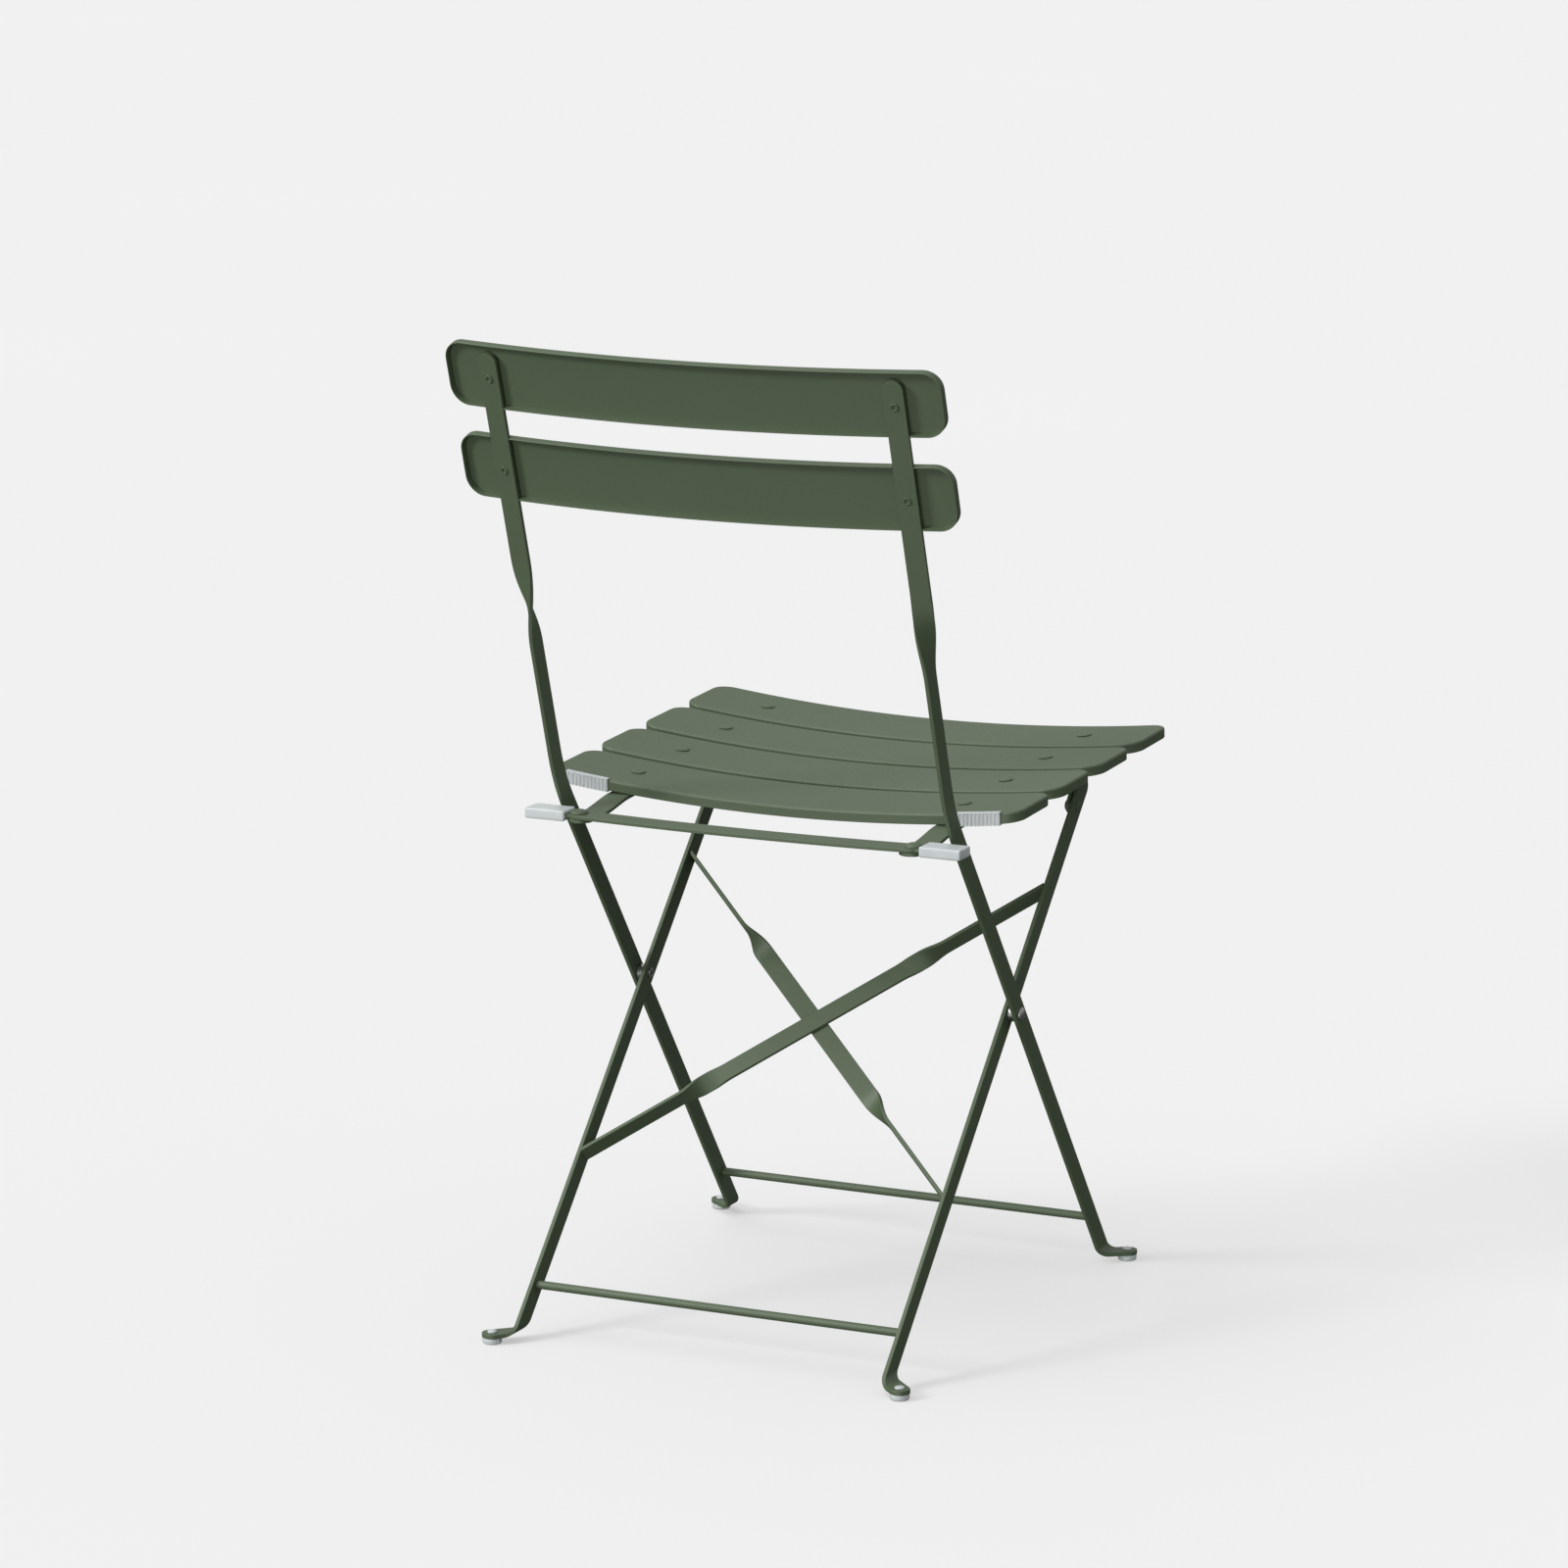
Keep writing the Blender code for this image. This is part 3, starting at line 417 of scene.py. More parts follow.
def foot_rings(side, middle_x, tip_x, start, slope):
    """Leg end: down its slope, out through a bend about a line along Y, and a round tab for the glide."""
    radius = FOOT_BEND_RADIUS
    half = BAR_WIDTH / 2
    angle = math.atan(slope)
    quarter = radius * math.pi / 2
    eye = tip_x - half - (middle_x + radius) + quarter
    eye_y = start[0] + slope * eye
    chord = half / math.cos(angle)
    lean = half * math.sin(angle)
    tip = eye + half

    def edges(down):
        centre = start[0] + slope * down
        low, high = centre - chord, centre + chord
        arc = math.sqrt(max(half ** 2 - (down - eye) ** 2, 0.0))
        if down > eye - lean:
            high = eye_y + arc
        if down > eye + lean:
            low = eye_y - arc
        return low, high

    def bent(offset, down, y):
        reach = radius - offset
        if down <= 0.0:
            return Vector((side * (middle_x + offset), y, start[1] - down))
        if down < quarter:
            turn = down / radius
            x = middle_x + radius - reach * math.cos(turn)
            return Vector((side * x, y, start[1] - reach * math.sin(turn)))
        return Vector((side * (middle_x + radius + down - quarter), y, start[1] - reach))

    steps = [quarter * i / 14 for i in range(15)]
    round_start = eye - abs(lean)
    steps += [round_start + (tip - round_start) * math.sin(math.radians(86 * i / 18)) for i in range(19)]
    rings = []
    for down in steps:
        low, high = edges(down)
        section = rounded_section(high - low, BAR_THICK)
        rings.append([bent(v, down, (low + high) / 2 - u) for u, v in section])
    glide = Vector((side * (middle_x + radius + eye - quarter), eye_y, 0.0))
    return rings, glide


# ---------------------------------------------------------------- front frame
BACK_ANGLE = math.atan(BACK_SLOPE)
LEG_ANGLE = math.atan(LEG_SLOPE)
BACK_UP = Vector((0, math.sin(BACK_ANGLE), math.cos(BACK_ANGLE)))
BACK_REAR = Vector((0, math.cos(BACK_ANGLE), -math.sin(BACK_ANGLE)))
BOW_TILT = math.atan(UPRIGHT_X / DISH_RADIUS)
FOOT_BEND_Z = GLIDE_HEIGHT + GAP + BAR_THICK / 2 + FOOT_BEND_RADIUS


def back_point(distance, x=0.0):
    return Vector((x, LOWER_RIVET_Y, LOWER_RIVET_Z)) + BACK_UP * distance


def leg_y(z):
    return PIVOT.y + LEG_SLOPE * (z - PIVOT.z)


def knee():
    base = LOWER_RIVET_Y - BACK_SLOPE * LOWER_RIVET_Z
    z = (base - PIVOT.y + LEG_SLOPE * PIVOT.z) / (LEG_SLOPE - BACK_SLOPE)
    return Vector((0, leg_y(z), z)), KNEE_RADIUS * math.tan((LEG_ANGLE - BACK_ANGLE) / 2)


def upright_track():
    """Centre line from the top end down: (place, angle from vertical)."""
    corner, tangent = knee()
    top = BACK_RIVET_PITCH + UPRIGHT_END
    track = [(back_point(top - step), BACK_ANGLE) for step in round_end_steps(BAR_WIDTH)]
    twist_top = (TWIST_MIDDLE_Z - LOWER_RIVET_Z) / math.cos(BACK_ANGLE) + TWIST_LENGTH / 2
    track.append((back_point(0.0), BACK_ANGLE))
    track += [(back_point(twist_top - TWIST_LENGTH * i / 40), BACK_ANGLE) for i in range(41)]
    bend_top = corner + BACK_UP * tangent
    centre = bend_top + Vector((0, -math.cos(BACK_ANGLE), math.sin(BACK_ANGLE))) * KNEE_RADIUS
    for i in range(25):
        angle = BACK_ANGLE + (LEG_ANGLE - BACK_ANGLE) * i / 24
        place = centre + Vector((0, math.cos(angle), -math.sin(angle))) * KNEE_RADIUS
        track.append((place, angle))
    low_z = FOOT_BEND_Z + LEG_END_RISE
    track.append((Vector((0, leg_y(low_z), low_z)), LEG_ANGLE))
    return track


def dress_upright(label, side):
    """Bent and twisted bar from the back down to the front foot, and its glide."""
    track = upright_track()
    top = track[0][0] + BACK_UP * round_end_steps(BAR_WIDTH)[0]
    twist_z = TWIST_LENGTH * math.cos(BACK_ANGLE)
    out = Vector((side, 0, 0))
    rings = []
    for place, angle in track:
        progress = ease((TWIST_MIDDLE_Z + twist_z / 2 - place.z) / twist_z)
        turn = BOW_TILT + (math.pi / 2 - BOW_TILT) * progress
        rear = Vector((0, math.cos(angle), -math.sin(angle)))
        through = rear * math.cos(turn) + out * math.sin(turn)
        across = out * math.cos(turn) - rear * math.sin(turn)
        centre = place + out * (UPRIGHT_X + UPRIGHT_SPLAY * (1.0 - progress))
        width = round_end_width((top - place).length, BAR_WIDTH)
        rings.append(bar_ring(centre, across, through, width, BAR_THICK))
    foot, glide = foot_rings(
        side, UPRIGHT_X, FOOT_TIP_X["front"], (leg_y(FOOT_BEND_Z), FOOT_BEND_Z), -LEG_SLOPE)
    dress(f"upright_{label}", loft_mesh("upright", rings + foot))
    dress_glide(f"glide_front_{label}", glide)


def dress_glide(node, place):
    """Pad, stem and domed button of the snap-in glide."""
    tab_top = GLIDE_HEIGHT + GAP + BAR_THICK
    pad_top = GLIDE_HEIGHT
    profile = dome(GLIDE_DOME, tab_top + GLIDE_BUTTON_EDGE, 6) + [
        (GLIDE_BUTTON, tab_top + GAP), (GLIDE_STEM, tab_top + GAP), (GLIDE_STEM, pad_top), (0.0070, pad_top),
        (0.0075, pad_top - 0.0002), (0.0080, pad_top - 0.0007), (0.0081, pad_top - 0.0013),
        (0.0079, 0.0014), (0.0077, 0.0006), (0.0070, 0.0), (0.0, 0.0)]
    dress(node, turned_mesh("glide", profile, place, Vector((0, 0, 1))))


def back_rivet_axis(side):
    """Square to the bowed slat at its rivet, towards the rear."""
    return (BACK_REAR * math.cos(BOW_TILT) + Vector((side, 0, 0)) * math.sin(BOW_TILT)).normalized()


# ---------------------------------------------------------------- pressed slats
def slat_outline(size, inset):
    """One long side of the plan with its end corners: (x, y) with y above zero."""
    long_steps, corner_steps = 48, 12
    radius = SLAT_CORNER - inset
    cx, cy = size["length"] / 2 - SLAT_CORNER, size["width"] / 2 - SLAT_CORNER
    points = []
    for i in range(corner_steps + 1):
        angle = math.pi - math.pi / 2 * i / corner_steps
        points.append((-cx + radius * math.cos(angle), cy + radius * math.sin(angle)))
    points += [(-cx + 2 * cx * i / long_steps, cy + radius) for i in range(1, long_steps)]
    for i in range(corner_steps + 1):
        angle = math.pi / 2 - math.pi / 2 * i / corner_steps
        points.append((cx + radius * math.cos(angle), cy + radius * math.sin(angle)))
    return points


def dish(x, rivet_x):
    """Height of the dished sheet, zero at the rivets."""
    return (x * x - rivet_x * rivet_x) / (2 * DISH_RADIUS)


def slat_loops(depth):
    """Section of the tray wall as (inset, height): outside up over the roll, inside back down."""
    inner = ROLL_RADIUS - SHEET
    lip = EDGE_BREAK
    outside = [(lip, -depth), (0.0, -depth + lip)]
    outside += [(ROLL_RADIUS * (1 - math.cos(a)), -ROLL_RADIUS * (1 - math.sin(a)))
                for a in (math.pi / 2 * i / 8 for i in range(9))]
    inside = [(SHEET + inner * (1 - math.cos(a)), -SHEET - inner * (1 - math.sin(a)))
              for a in (math.pi / 2 * i / 6 for i in range(7))]
    inside += [(SHEET, -depth + lip), (SHEET - lip, -depth)]
    return outside, inside


def slat_mesh(size, rivet_x, place):
    """Pressed tray with one sheet thickness, a rolled edge and a rounded skirt lip."""
    outside, inside = slat_loops(size["depth"])

    def build(work):
        def row(inset, height):
            half = slat_outline(size, inset)
            ring = half + [(x, -y) for x, y in reversed(half)]
            return [work.verts.new(place @ Vector((x, y, height + dish(x, rivet_x)))) for x, y in ring]

        def bridge(first, second):
            for i in range(len(first)):
                j = (i + 1) % len(first)
                work.faces.new((first[i], first[j], second[j], second[i]))

        def cap(ring):
            count = len(ring)
            for i in range(count // 2 - 1):
                work.faces.new((ring[i], ring[i + 1], ring[count - 2 - i], ring[count - 1 - i]))

        outer = [row(*loop) for loop in outside]
        inner = [row(*loop) for loop in inside]
        for walls in (outer, inner):
            for first, second in zip(walls, walls[1:]):
                bridge(first, second)
        bridge(outer[0], inner[-1])
        cap(outer[-1])
        cap(inner[0])
    return mesh_from("slat", build)


def dress_back_slat(node, i):
    """Bowed tray, open to the rear, with notches in the rims that the uprights pass (not the topmost rim)."""
    rivet_x = UPRIGHT_X + UPRIGHT_SPLAY
    front = BACK_SLAT["depth"] - BAR_THICK / 2
    origin = back_point(BACK_RIVET_PITCH * i + BACK_SLAT_RISE) - BACK_REAR * front
    turn = Matrix((Vector((1, 0, 0)), BACK_UP, -BACK_REAR)).transposed()
    mesh = slat_mesh(BACK_SLAT, rivet_x, Matrix.Translation(origin) @ turn.to_4x4())
    tools = []
    for side in SIDES.values():
        place = back_point(BACK_RIVET_PITCH * i, side * rivet_x)
        axis = back_rivet_axis(side)
        notch = Matrix((BACK_UP.cross(axis), BACK_UP, axis)).transposed().to_4x4()
        reach = BACK_SLAT["width"] / 2 + NOTCH_RAISE
        edges = (-1, 1) if i == 0 else (-1,)
        for edge in edges:
            spot = Matrix.Translation(place + BACK_UP * edge * reach) @ notch
            tools.append(box_mesh((BAR_WIDTH + 2 * GAP, NOTCH_HEIGHT, BAR_THICK + 2 * GAP), spot))
    dress(node, carve(mesh, tools))


def dress_back_rivets():
    """Semi-tubular rivets, painted with the chair: dome in front, rolled hollow end behind."""
    rivet_x = UPRIGHT_X + UPRIGHT_SPLAY
    rear = BAR_THICK / 2
    sheet_front = -(BACK_SLAT["depth"] - BAR_THICK / 2)
    sheet_rear = sheet_front + SHEET
    rolled = [(ROLLED_END["middle"] + ROLLED_END["half"] * math.cos(a),
               rear + GAP + ROLLED_END["height"] * math.sin(a))
              for a in (math.pi * (1 - i / 8) for i in range(9))]
    profile = [(0.0, rear - BACK_RIVET_BORE_DEPTH), (BACK_RIVET_BORE, rear - BACK_RIVET_BORE_DEPTH)]
    profile += rolled + [
        (RIVET_SHANK, rear + GAP), (RIVET_SHANK, -rear - GAP),
        (BACK_RIVET_SPACER, -rear - GAP), (BACK_RIVET_SPACER, sheet_rear + GAP),
        (RIVET_SHANK, sheet_rear + GAP), (RIVET_SHANK, sheet_front - GAP)]
    profile += dome(BACK_RIVET_HEAD, sheet_front - GAP, 8, down=True)
    for level, i in (("lower", 0), ("upper", 1)):
        for label, side in SIDES.items():
            place = back_point(BACK_RIVET_PITCH * i, side * rivet_x)
            dress(f"back_rivet_{level}_{label}", turned_mesh("rivet", profile, place, back_rivet_axis(side)))


def beveled_ends(first, last):
    """Stations along a plain piece as (place, shrink), with a small bevel at both ends."""
    return ((first, EDGE_BREAK), (first + EDGE_BREAK, 0.0), (last - EDGE_BREAK, 0.0), (last, EDGE_BREAK))


def dress_rod(node):
    """Round bar along X; its place is read from the CAD node's box."""
    low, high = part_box(node)
    middle = (low + high) / 2
    half = (high.x - low.x) / 2
    rings = []
    for x, shrink in beveled_ends(-half, half):
        radius = STRETCHER_RADIUS - shrink
        rings.append([
            Vector((x, middle.y + radius * math.cos(a), middle.z + radius * math.sin(a)))
            for a in (math.tau * i / 32 for i in range(32))])
    dress(node, loft_mesh("rod", rings))


# ---------------------------------------------------------------- scissor pivots
def dress_pivots():
    """Scissor pins, domed outside and pressed inside, and the washers between the bars."""
    outer = UPRIGHT_X + BAR_THICK / 2
    front_inner = UPRIGHT_X - BAR_THICK / 2
    rear_outer = REAR_LEG_X + BAR_THICK / 2
    rear_inner = REAR_LEG_X - BAR_THICK / 2
    pin = dome(SCISSOR_HEAD, outer + GAP, 10) + [(PIN_RADIUS, outer + GAP), (PIN_RADIUS, rear_inner - GAP)]
    pin += [(radius, rear_inner - rise) for radius, rise in PRESSED_END]
    radius, bevel = SCISSOR_WASHER["radius"], SCISSOR_WASHER["bevel"]
    top, under = front_inner - GAP, rear_outer + GAP
    washer = [
        (WASHER_BORE, top), (radius - bevel, top), (radius, top - bevel),
        (radius, under + bevel), (radius - bevel, under), (WASHER_BORE, under)]
    for label, side in SIDES.items():
        axis = Vector((side, 0, 0))
        dress(f"scissor_pin_{label}", turned_mesh("pin", pin, PIVOT, axis))
        dress(f"scissor_washer_{label}", turned_mesh("washer", washer, PIVOT, axis, ring=True))


# ---------------------------------------------------------------- rear frame
REAR_ANGLE = math.atan(REAR_SLOPE)
REAR_DOWN = Vector((0, math.sin(REAR_ANGLE), -math.cos(REAR_ANGLE)))
REAR_NORMAL = Vector((0, math.cos(REAR_ANGLE), math.sin(REAR_ANGLE)))


def rear_y(z):
    return PIVOT.y - REAR_SLOPE * (z - PIVOT.z)


def dress_rear_leg(label, side):
    """Straight bar from the seat hinge down to the rear foot, and its glide."""
    centre = Vector((side * REAR_LEG_X, 0, 0))
    through = Vector((side, 0, 0))
    top = HINGE - REAR_DOWN * REAR_LEG_END
    rings = []
    for step in round_end_steps(BAR_WIDTH):
        width = round_end_width(step, BAR_WIDTH)
        rings.append(bar_ring(top + REAR_DOWN * step + centre, -REAR_NORMAL, through, width, BAR_THICK))
    low_z = FOOT_BEND_Z + LEG_END_RISE
    place = Vector((0, rear_y(low_z), low_z)) + centre
    rings.append(bar_ring(place, -REAR_NORMAL, through, BAR_WIDTH, BAR_THICK))
    foot, glide = foot_rings(
        side, REAR_LEG_X, FOOT_TIP_X["rear"], (rear_y(FOOT_BEND_Z), FOOT_BEND_Z), REAR_SLOPE)
    dress(f"rear_leg_{label}", loft_mesh("leg", rings + foot))
    dress_glide(f"glide_rear_{label}", glide)


def brace_track():
    """Centre line of a brace as (x, distance down the legs) with its twist, and its heading."""
    wall = REAR_LEG_X - BAR_THICK / 2 - GAP
    start = Vector((wall, BRACE_LOW))
    end = Vector((-wall, -BRACE_HIGH))
    run = end - start
    track = [(start, 0.0)]
    for middle, rising in zip(BRACE_TWIST, (True, False)):
        for i in range(25):
            along = middle + (i / 24 - 0.5) * BRACE_TWIST_LENGTH / run.length
            amount = ease(i / 24) if rising else 1.0 - ease(i / 24)
            track.append((start + run * along, amount * math.pi / 2))
    track.append((end, 0.0))
    return track, math.atan2(run.y, run.x)


def dress_brace(node, side, layer):
    """Twisted brace with its ends cut along the legs' faces; layer is its offset from the legs' plane."""
    track, heading = brace_track()
    tangent = Vector((side * math.cos(heading), 0, 0)) + REAR_DOWN * math.sin(heading)
    sideways = tangent.cross(REAR_NORMAL)
    rings = []
    for place, twist in track:
        turn = -side * twist
        centre = PIVOT + Vector((side * place.x, 0, 0)) + REAR_DOWN * place.y + REAR_NORMAL * layer
        across = REAR_NORMAL * math.cos(turn) + sideways * math.sin(turn)
        through = sideways * math.cos(turn) - REAR_NORMAL * math.sin(turn)
        rings.append(bar_ring(centre, across, through, BRACE_WIDTH, BRACE_THICK))
    for ring, (place, _) in ((rings[0], track[0]), (rings[-1], track[-1])):
        for i, corner in enumerate(ring):
            ring[i] = corner - tangent * ((corner.x - side * place.x) / tangent.x)
    dress(node, loft_mesh("brace", rings))


# ---------------------------------------------------------------- seat
def seat_z(y):
    return SEAT_FRONT_RIVET[1] - (y - SEAT_FRONT_RIVET[0]) * math.tan(SEAT_FALL)


def seat_frame(i):
    y = SEAT_FRONT_RIVET[0] + SEAT_PITCH * math.cos(SEAT_FALL) * i
    return Matrix.Translation((0, y, seat_z(y))) @ Matrix.Rotation(-SEAT_FALL, 4, "X")


def seat_rivet_axis(side):
    return Vector((-side * SEAT_RIVET_X / DISH_RADIUS, 0, 1)).normalized()


def dress_seat_slats():
    """Slats and the low domed rivets that hold them to the rails."""
    under = -RAIL_DROP - RAIL_THICK - SEAT_RIVET_PLAY
    spacer_end = -RAIL_DROP + SEAT_RIVET_PLAY
    profile = dome(SEAT_RIVET_HEAD, SEAT_RIVET_PLAY, 8) + [
        (0.0058, GAP), (RIVET_SHANK, GAP), (RIVET_SHANK, -SHEET - GAP), (SEAT_RIVET_SPACER, -SHEET - GAP),
        (SEAT_RIVET_SPACER, spacer_end), (RIVET_SHANK, spacer_end), (RIVET_SHANK, under)]
    profile += dome(SEAT_RIVET_TAIL, under, 6, down=True)
    for i in range(SEAT_SLATS):
        place = seat_frame(i)
        dress(f"seat_slat_{i + 1}", slat_mesh(SEAT_SLAT, SEAT_RIVET_X, place))
        for label, side in SIDES.items():
            spot = place @ Vector((side * SEAT_RIVET_X, 0, 0))
            axis = place.to_3x3() @ seat_rivet_axis(side)
            dress(f"seat_rivet_{i + 1}_{label}", turned_mesh("rivet", profile, spot, axis))


def rail_track():
    """Centre line under the slats, stepping down to pass under the crossbar."""
    front, step_start, step_end = RAIL_FRONT_Y, *RAIL_STEP
    under = CROSSBAR_TOP - RAIL_THICK - GAP
    places = [front + (step_start - front) * i / 4 for i in range(4)]
    places += [step_start + (step_end - step_start) * i / 32 for i in range(33)]
    places += [RAIL_END_Y - step for step in reversed(round_end_steps(RAIL_WIDTH))]
    track = []
    for y in places:
        drop = ease((y - step_start) / (step_end - step_start))
        top = (seat_z(y) - RAIL_DROP) * (1 - drop) + under * drop
        track.append(Vector((0, y, top - RAIL_THICK / 2)))
    return track


def dress_rail(label, side):
    track = rail_track()
    across = Vector((1, 0, 0))
    rings = []
    for i, place in enumerate(track):
        ahead = track[min(i + 1, len(track) - 1)] - track[max(i - 1, 0)]
        through = across.cross(ahead.normalized())
        width = round_end_width(RAIL_END_Y - place.y, RAIL_WIDTH)
        centre = place + Vector((side * SEAT_RIVET_X, 0, 0))
        rings.append(bar_ring(centre, across, through, width, RAIL_THICK))
    dress(f"seat_rail_{label}", loft_mesh("rail", rings))


def crossbar_place(x):
    bow = (SEAT_RIVET_X ** 2 - min(abs(x), SEAT_RIVET_X) ** 2) / (2 * DISH_RADIUS)
    return Vector((x, CROSSBAR_Y + bow, CROSSBAR_TOP - RAIL_THICK / 2))


def dress_crossbar():
    """Flat bar with a round shoulder and a narrower tongue at each end, and its two domed rivets."""
    shoulder = [SHOULDER_X - step for step in reversed(round_end_steps(CROSSBAR_WIDTH))]
    half = [SEAT_RIVET_X * 0.9 * i / 20 for i in range(1, 21)] + shoulder + [TONGUE_END_X]
    rings = []
    for x in [-x for x in reversed(half)] + [0.0] + half:
        along = Vector((1, 0 if abs(x) > SEAT_RIVET_X else -x / DISH_RADIUS, 0)).normalized()
        across = Vector((0, 0, 1)).cross(along)
        width = TONGUE_WIDTH
        if abs(x) < SHOULDER_X:
            width = max(round_end_width(SHOULDER_X - abs(x), CROSSBAR_WIDTH), TONGUE_WIDTH)
        rings.append(bar_ring(crossbar_place(x), across, Vector((0, 0, 1)), width, RAIL_THICK))
    dress("seat_crossbar", loft_mesh("crossbar", rings))
    under = CROSSBAR_TOP - 2 * RAIL_THICK - GAP
    profile = dome(CROSSBAR_RIVET_HEAD, CROSSBAR_TOP + GAP, 12)
    profile += [(PIN_RADIUS, CROSSBAR_TOP + GAP), (PIN_RADIUS, under - GAP)]
    profile += dome(CROSSBAR_RIVET_TAIL, under - GAP, 6, down=True)
    for label, side in SIDES.items():
        place = crossbar_place(side * CROSSBAR_RIVET_X)
        spot = Vector((place.x, place.y, 0.0))
        dress(f"crossbar_rivet_{label}", turned_mesh("rivet", profile, spot, Vector((0, 0, 1))))


def dress_sleeve(label, side):
    """Plastic sleeve on the crossbar's tongue; its size is read from the CAD node's box."""
    node = f"slide_sleeve_{label}"
    low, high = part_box(node)
    body = round_box(high - low, Matrix.Translation((low + high) / 2), SLEEVE_EDGE)
    inner = min(abs(low.x), abs(high.x))
    reach = TONGUE_END_X + GAP - inner + SLEEVE_POCKET_OVERRUN
    middle = side * (TONGUE_END_X + GAP - reach / 2)
    spot = Matrix.Translation((middle, CROSSBAR_Y, CROSSBAR_TOP - RAIL_THICK / 2))
    pocket = box_mesh((reach, TONGUE_WIDTH + 2 * GAP, RAIL_THICK + 2 * GAP), spot)
    dress(node, carve(body, [pocket]))


def dress_guard(label, side):
    """Guard hooked over the rear slat's edge, ribbed on its outer wall."""
    edge = SEAT_SLAT["width"] / 2
    deep = -SEAT_SLAT["depth"]
    place = seat_frame(SEAT_SLATS - 1)
    outer = SEAT_SLAT["length"] / 2 - SLAT_CORNER + GUARD_END_PLAY
    lap, outside = edge - GUARD_LAP, edge + GUARD_OUTSIDE
    skirt, hook = edge - SHEET - GAP, edge - SHEET - GUARD_WALL
    sole, tip = deep - GUARD_SOLE, deep + GUARD_HOOK
    steps = GUARD_RIBS * 8
    rings = []
    for i in range(steps + 1):
        x = GUARD_INNER + (outer - GUARD_INNER) * i / steps
        wave = 0.5 - 0.5 * math.cos(math.tau * GUARD_RIBS * i / steps)
        wall = edge + 0.0009 + GUARD_RIB_DEPTH * wave
        section = [
            (outside, GUARD_TOP), (lap, GUARD_TOP), (lap, GAP), (edge + GAP, GAP), (edge + GAP, deep - GAP),
            (skirt, deep - GAP), (skirt, tip), (hook, tip), (hook, sole), (edge + GUARD_WALL, sole),
            (wall, deep - 0.0004), (wall, -0.0006), (outside, 0.0)]
        rings.append([place @ Vector((side * x, y, z + dish(x, SEAT_RIVET_X))) for y, z in section])
    dress(f"edge_guard_{label}", loft_mesh("guard", rings))


def dress_seat_hinge(label, side):
    """Ear under the rail, the pin that hangs it on the rear leg, and the washer between them."""
    inner = HINGE_EAR["inner"]
    outer = inner + HINGE_EAR["thick"]
    outline = []
    for edge in (-1, 1):
        y = rear_y(EAR_TOP_Z) + edge * HINGE_EAR["top_half"]
        outline.append((y, seat_z(y) - RAIL_DROP - GAP))
    for i in range(25):
        angle = REAR_ANGLE - math.pi * i / 24
        radius = HINGE_EAR["radius"]
        outline.append((HINGE.y + radius * math.cos(angle), HINGE.z + radius * math.sin(angle)))
    rings = []
    middle = Vector((sum(y for y, z in outline) / len(outline), sum(z for y, z in outline) / len(outline)))
    for x, shrink in beveled_ends(inner, outer):
        rings.append([
            Vector((side * x, *(Vector(p) + (middle - Vector(p)).normalized() * shrink))) for p in outline])
    dress(f"seat_hinge_ear_{label}", loft_mesh("ear", rings), sharp=30)
    leg_inner = REAR_LEG_X - BAR_THICK / 2
    leg_outer = REAR_LEG_X + BAR_THICK / 2
    pin = dome(HINGE_HEAD, leg_outer + GAP, 10) + [
        (PIN_RADIUS, leg_outer + GAP), (PIN_RADIUS, inner - GAP),
        (0.0044, inner - GAP), (0.0040, inner - 0.0016), (0.0, inner - 0.0018)]
    washer = [
        (WASHER_BORE, leg_inner - GAP), (HINGE_WASHER_RADIUS, leg_inner - GAP),
        (HINGE_WASHER_RADIUS, outer + GAP), (WASHER_BORE, outer + GAP)]
    axis = Vector((side, 0, 0))
    dress(f"seat_hinge_pin_{label}", turned_mesh("pin", pin, HINGE, axis))
    dress(f"seat_hinge_washer_{label}", turned_mesh("washer", washer, HINGE, axis, ring=True))


def dress_chair():
    for label, side in SIDES.items():
        dress_upright(label, side)
        dress_rear_leg(label, side)
        dress_rail(label, side)
        dress_sleeve(label, side)
        dress_guard(label, side)
        dress_seat_hinge(label, side)
    dress_rod("front_stretcher_rod")
    dress_rod("rear_stretcher_rod")
    dress_back_slat("back_slat_lower", 0)
    dress_back_slat("back_slat_upper", 1)
    dress_back_rivets()
    dress_pivots()
    layer = BRACE_THICK / 2 + GAP / 2
    dress_brace("cross_brace_rear", 1.0, layer)
    dress_brace("cross_brace_front", -1.0, -layer)
    dress_seat_slats()
    dress_crossbar()


# ---------------------------------------------------------------- studio
CAMERA_PLACE = Vector((-2.2957, 4.8508, 1.5819))
CAMERA_AZIMUTH = 205.61
CAMERA_ELEVATION = 12.02
CAMERA_ROLL = -0.198
CAMERA_LENS = 153.46
CAMERA_SHIFT = (-0.00056, -0.00238)

BELOW = (0.075, 0.078, 0.070)    # the floor as the chair sees it
LEVEL = (0.44, 0.445, 0.445)     # walls
ABOVE = (0.48, 0.485, 0.485)     # ceiling
HORIZON = (0.495, 0.530)         # end of the floor and start of the walls: 0 is straight down, 1 straight up
TOP = {"direction": (0.40, 0.10, 1.0), "strength": 1.05, "angle": 60}
KEY = {"direction": (1.0, 1.05, 0.75), "strength": 1.75, "angle": 16}
FILL = {"direction": (-0.05, 1.0, -0.20), "strength": 0.85, "angle": 40}


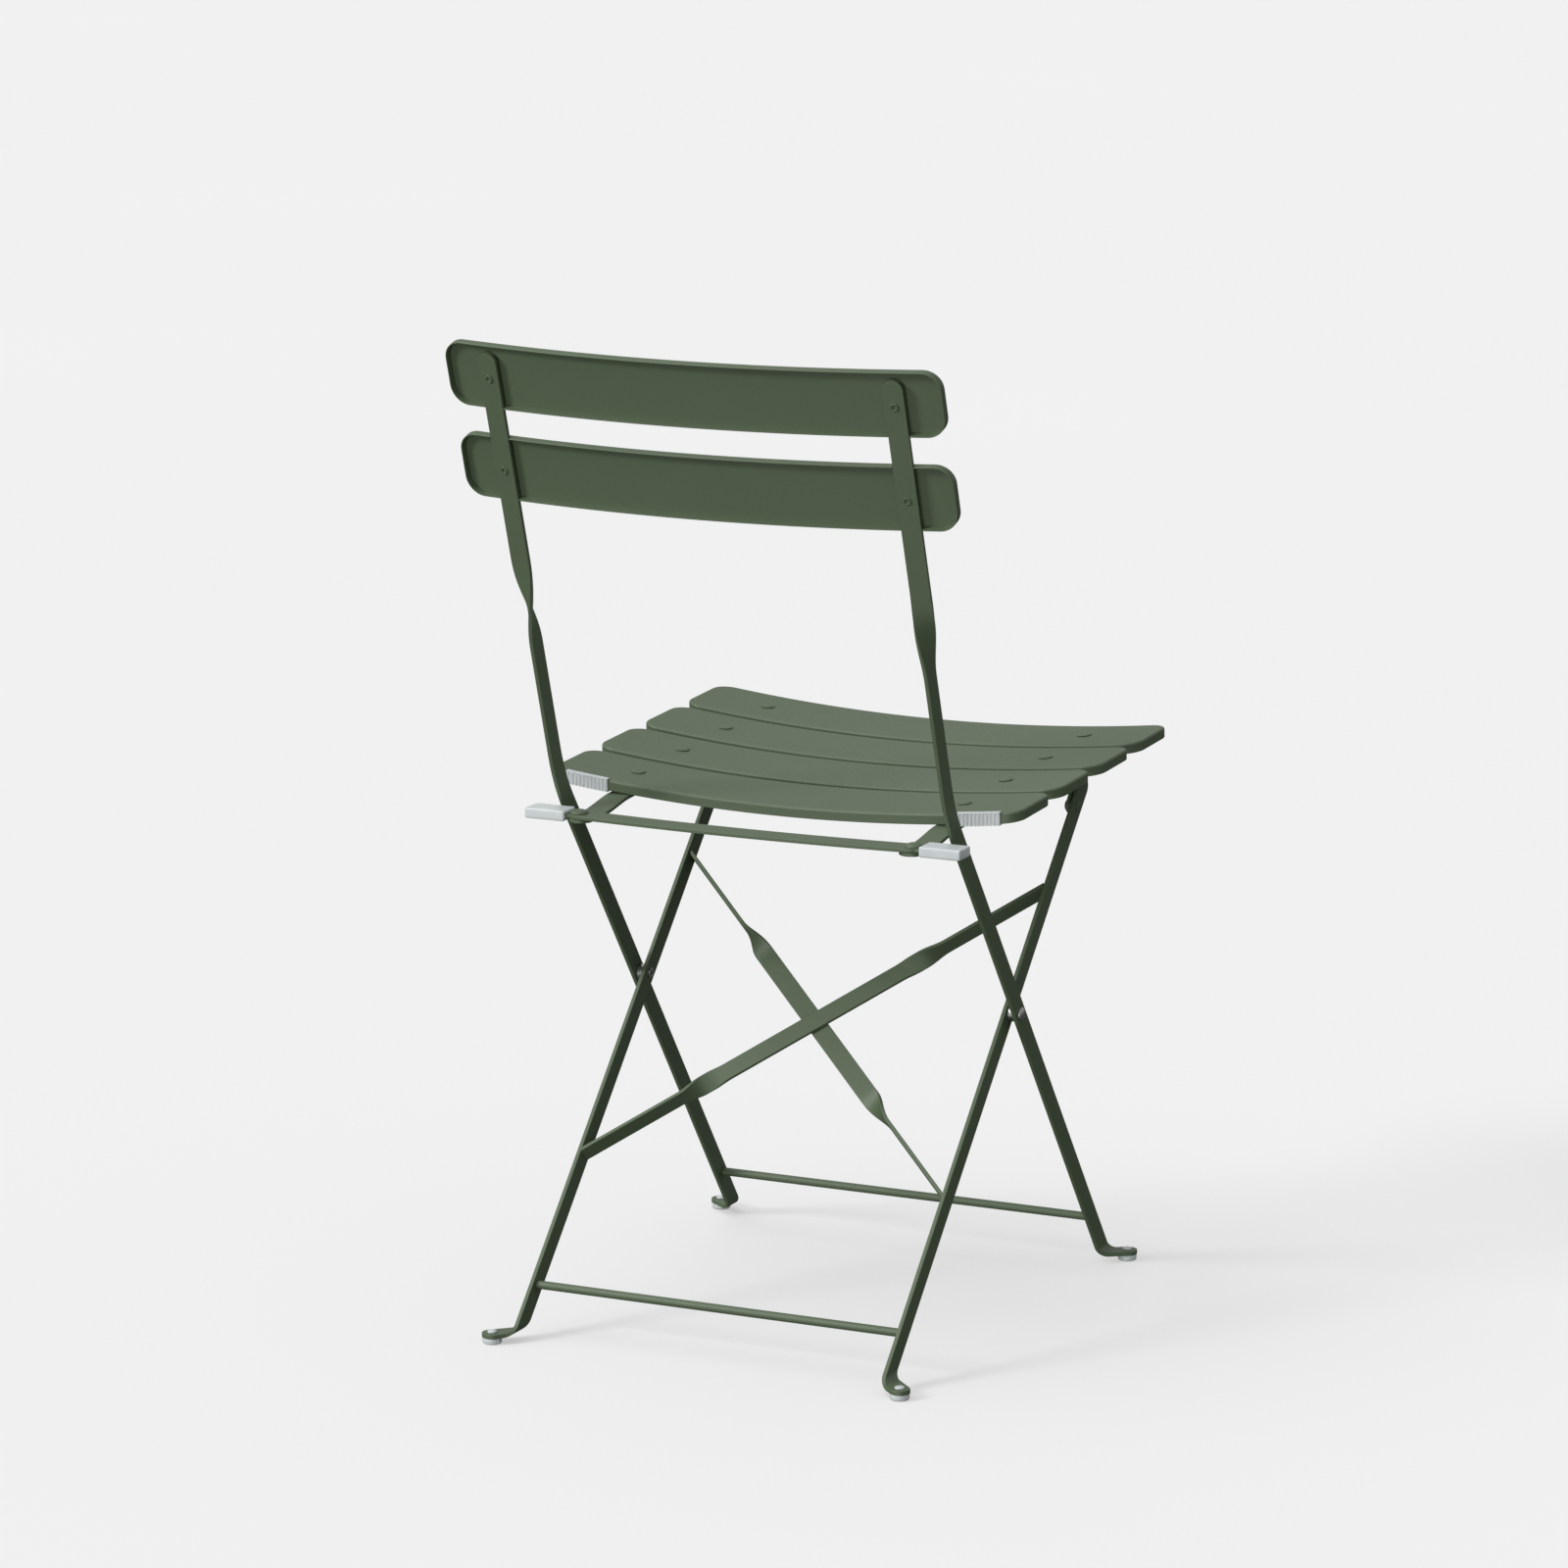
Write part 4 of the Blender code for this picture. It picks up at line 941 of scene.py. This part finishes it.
def make_camera():
    azimuth, elevation = math.radians(CAMERA_AZIMUTH), math.radians(CAMERA_ELEVATION)
    back = Vector((math.sin(azimuth) * math.cos(elevation), -math.cos(azimuth) * math.cos(elevation),
                   math.sin(elevation)))
    data = bpy.data.cameras.new("camera")
    data.sensor_width = 36.0
    data.lens = CAMERA_LENS
    data.shift_x, data.shift_y = CAMERA_SHIFT
    data.clip_end = 200.0
    camera = bpy.data.objects.new("camera", data)
    bpy.context.scene.collection.objects.link(camera)
    facing = (-back).to_track_quat("-Z", "Y").to_matrix()
    turn = facing @ Matrix.Rotation(math.radians(CAMERA_ROLL), 3, "Z")
    camera.matrix_world = Matrix.Translation(CAMERA_PLACE) @ turn.to_4x4()
    bpy.context.scene.camera = camera


def make_floor():
    """Plain pale floor; BELOW stands for it in the light that reaches the chair."""
    material, nodes, links, shader = new_material("studio_floor")
    haze = add_noise(nodes, links, 0.6, 2.0)
    tone = add_ramp(nodes, links, haze, (0.405, 0.405, 0.405), (0.412, 0.412, 0.412))
    links.new(tone, shader.inputs["Base Color"])
    shader.inputs["Roughness"].default_value = 0.9
    shader.inputs["Specular IOR Level"].default_value = 0.1
    shader.inputs["Emission Color"].default_value = (1.0, 1.0, 1.0, 1.0)
    shader.inputs["Emission Strength"].default_value = 0.45

    def build(work):
        bmesh.ops.create_grid(work, x_segments=1, y_segments=1, size=40.0)
    floor = bpy.data.objects.new("studio_floor", mesh_from("studio_floor", build))
    floor.data.materials.append(material)
    floor.visible_diffuse = False
    floor.visible_glossy = False
    floor.visible_shadow = False
    bpy.context.scene.collection.objects.link(floor)


def add_sun(name, direction, strength, angle):
    """Distant light that comes from a direction."""
    data = bpy.data.lights.new(name, "SUN")
    data.energy = strength
    data.angle = math.radians(angle)
    light = bpy.data.objects.new(name, data)
    light.rotation_mode = "QUATERNION"
    light.rotation_quaternion = Vector(direction).to_track_quat("Z", "Y")
    bpy.context.scene.collection.objects.link(light)


def make_lights():
    """Even walls and ceiling over a dim floor, soft top light, a key from the camera's left, a low fill."""
    world = bpy.data.worlds.new("studio")
    world.use_nodes = True
    nodes = world.node_tree.nodes
    links = world.node_tree.links
    place = nodes.new("ShaderNodeTexCoord")
    split = nodes.new("ShaderNodeSeparateXYZ")
    links.new(place.outputs["Generated"], split.inputs["Vector"])
    ramp = nodes.new("ShaderNodeValToRGB")
    ramp.color_ramp.elements[0].color = (*BELOW, 1.0)
    ramp.color_ramp.elements[1].color = (*ABOVE, 1.0)
    for position, colour in zip(HORIZON, (BELOW, LEVEL)):
        ramp.color_ramp.elements.new(position).color = (*colour, 1.0)
    height = nodes.new("ShaderNodeMapRange")
    height.inputs["From Min"].default_value = -1.0
    links.new(split.outputs["Z"], height.inputs["Value"])
    links.new(height.outputs["Result"], ramp.inputs["Fac"])
    links.new(ramp.outputs["Color"], nodes["Background"].inputs["Color"])
    bpy.context.scene.world = world
    add_sun("top", **TOP)
    add_sun("key", **KEY)
    add_sun("fill", **FILL)


bpy.context.scene.view_settings.view_transform = "Standard"
dress_chair()
make_camera()
make_floor()
make_lights()
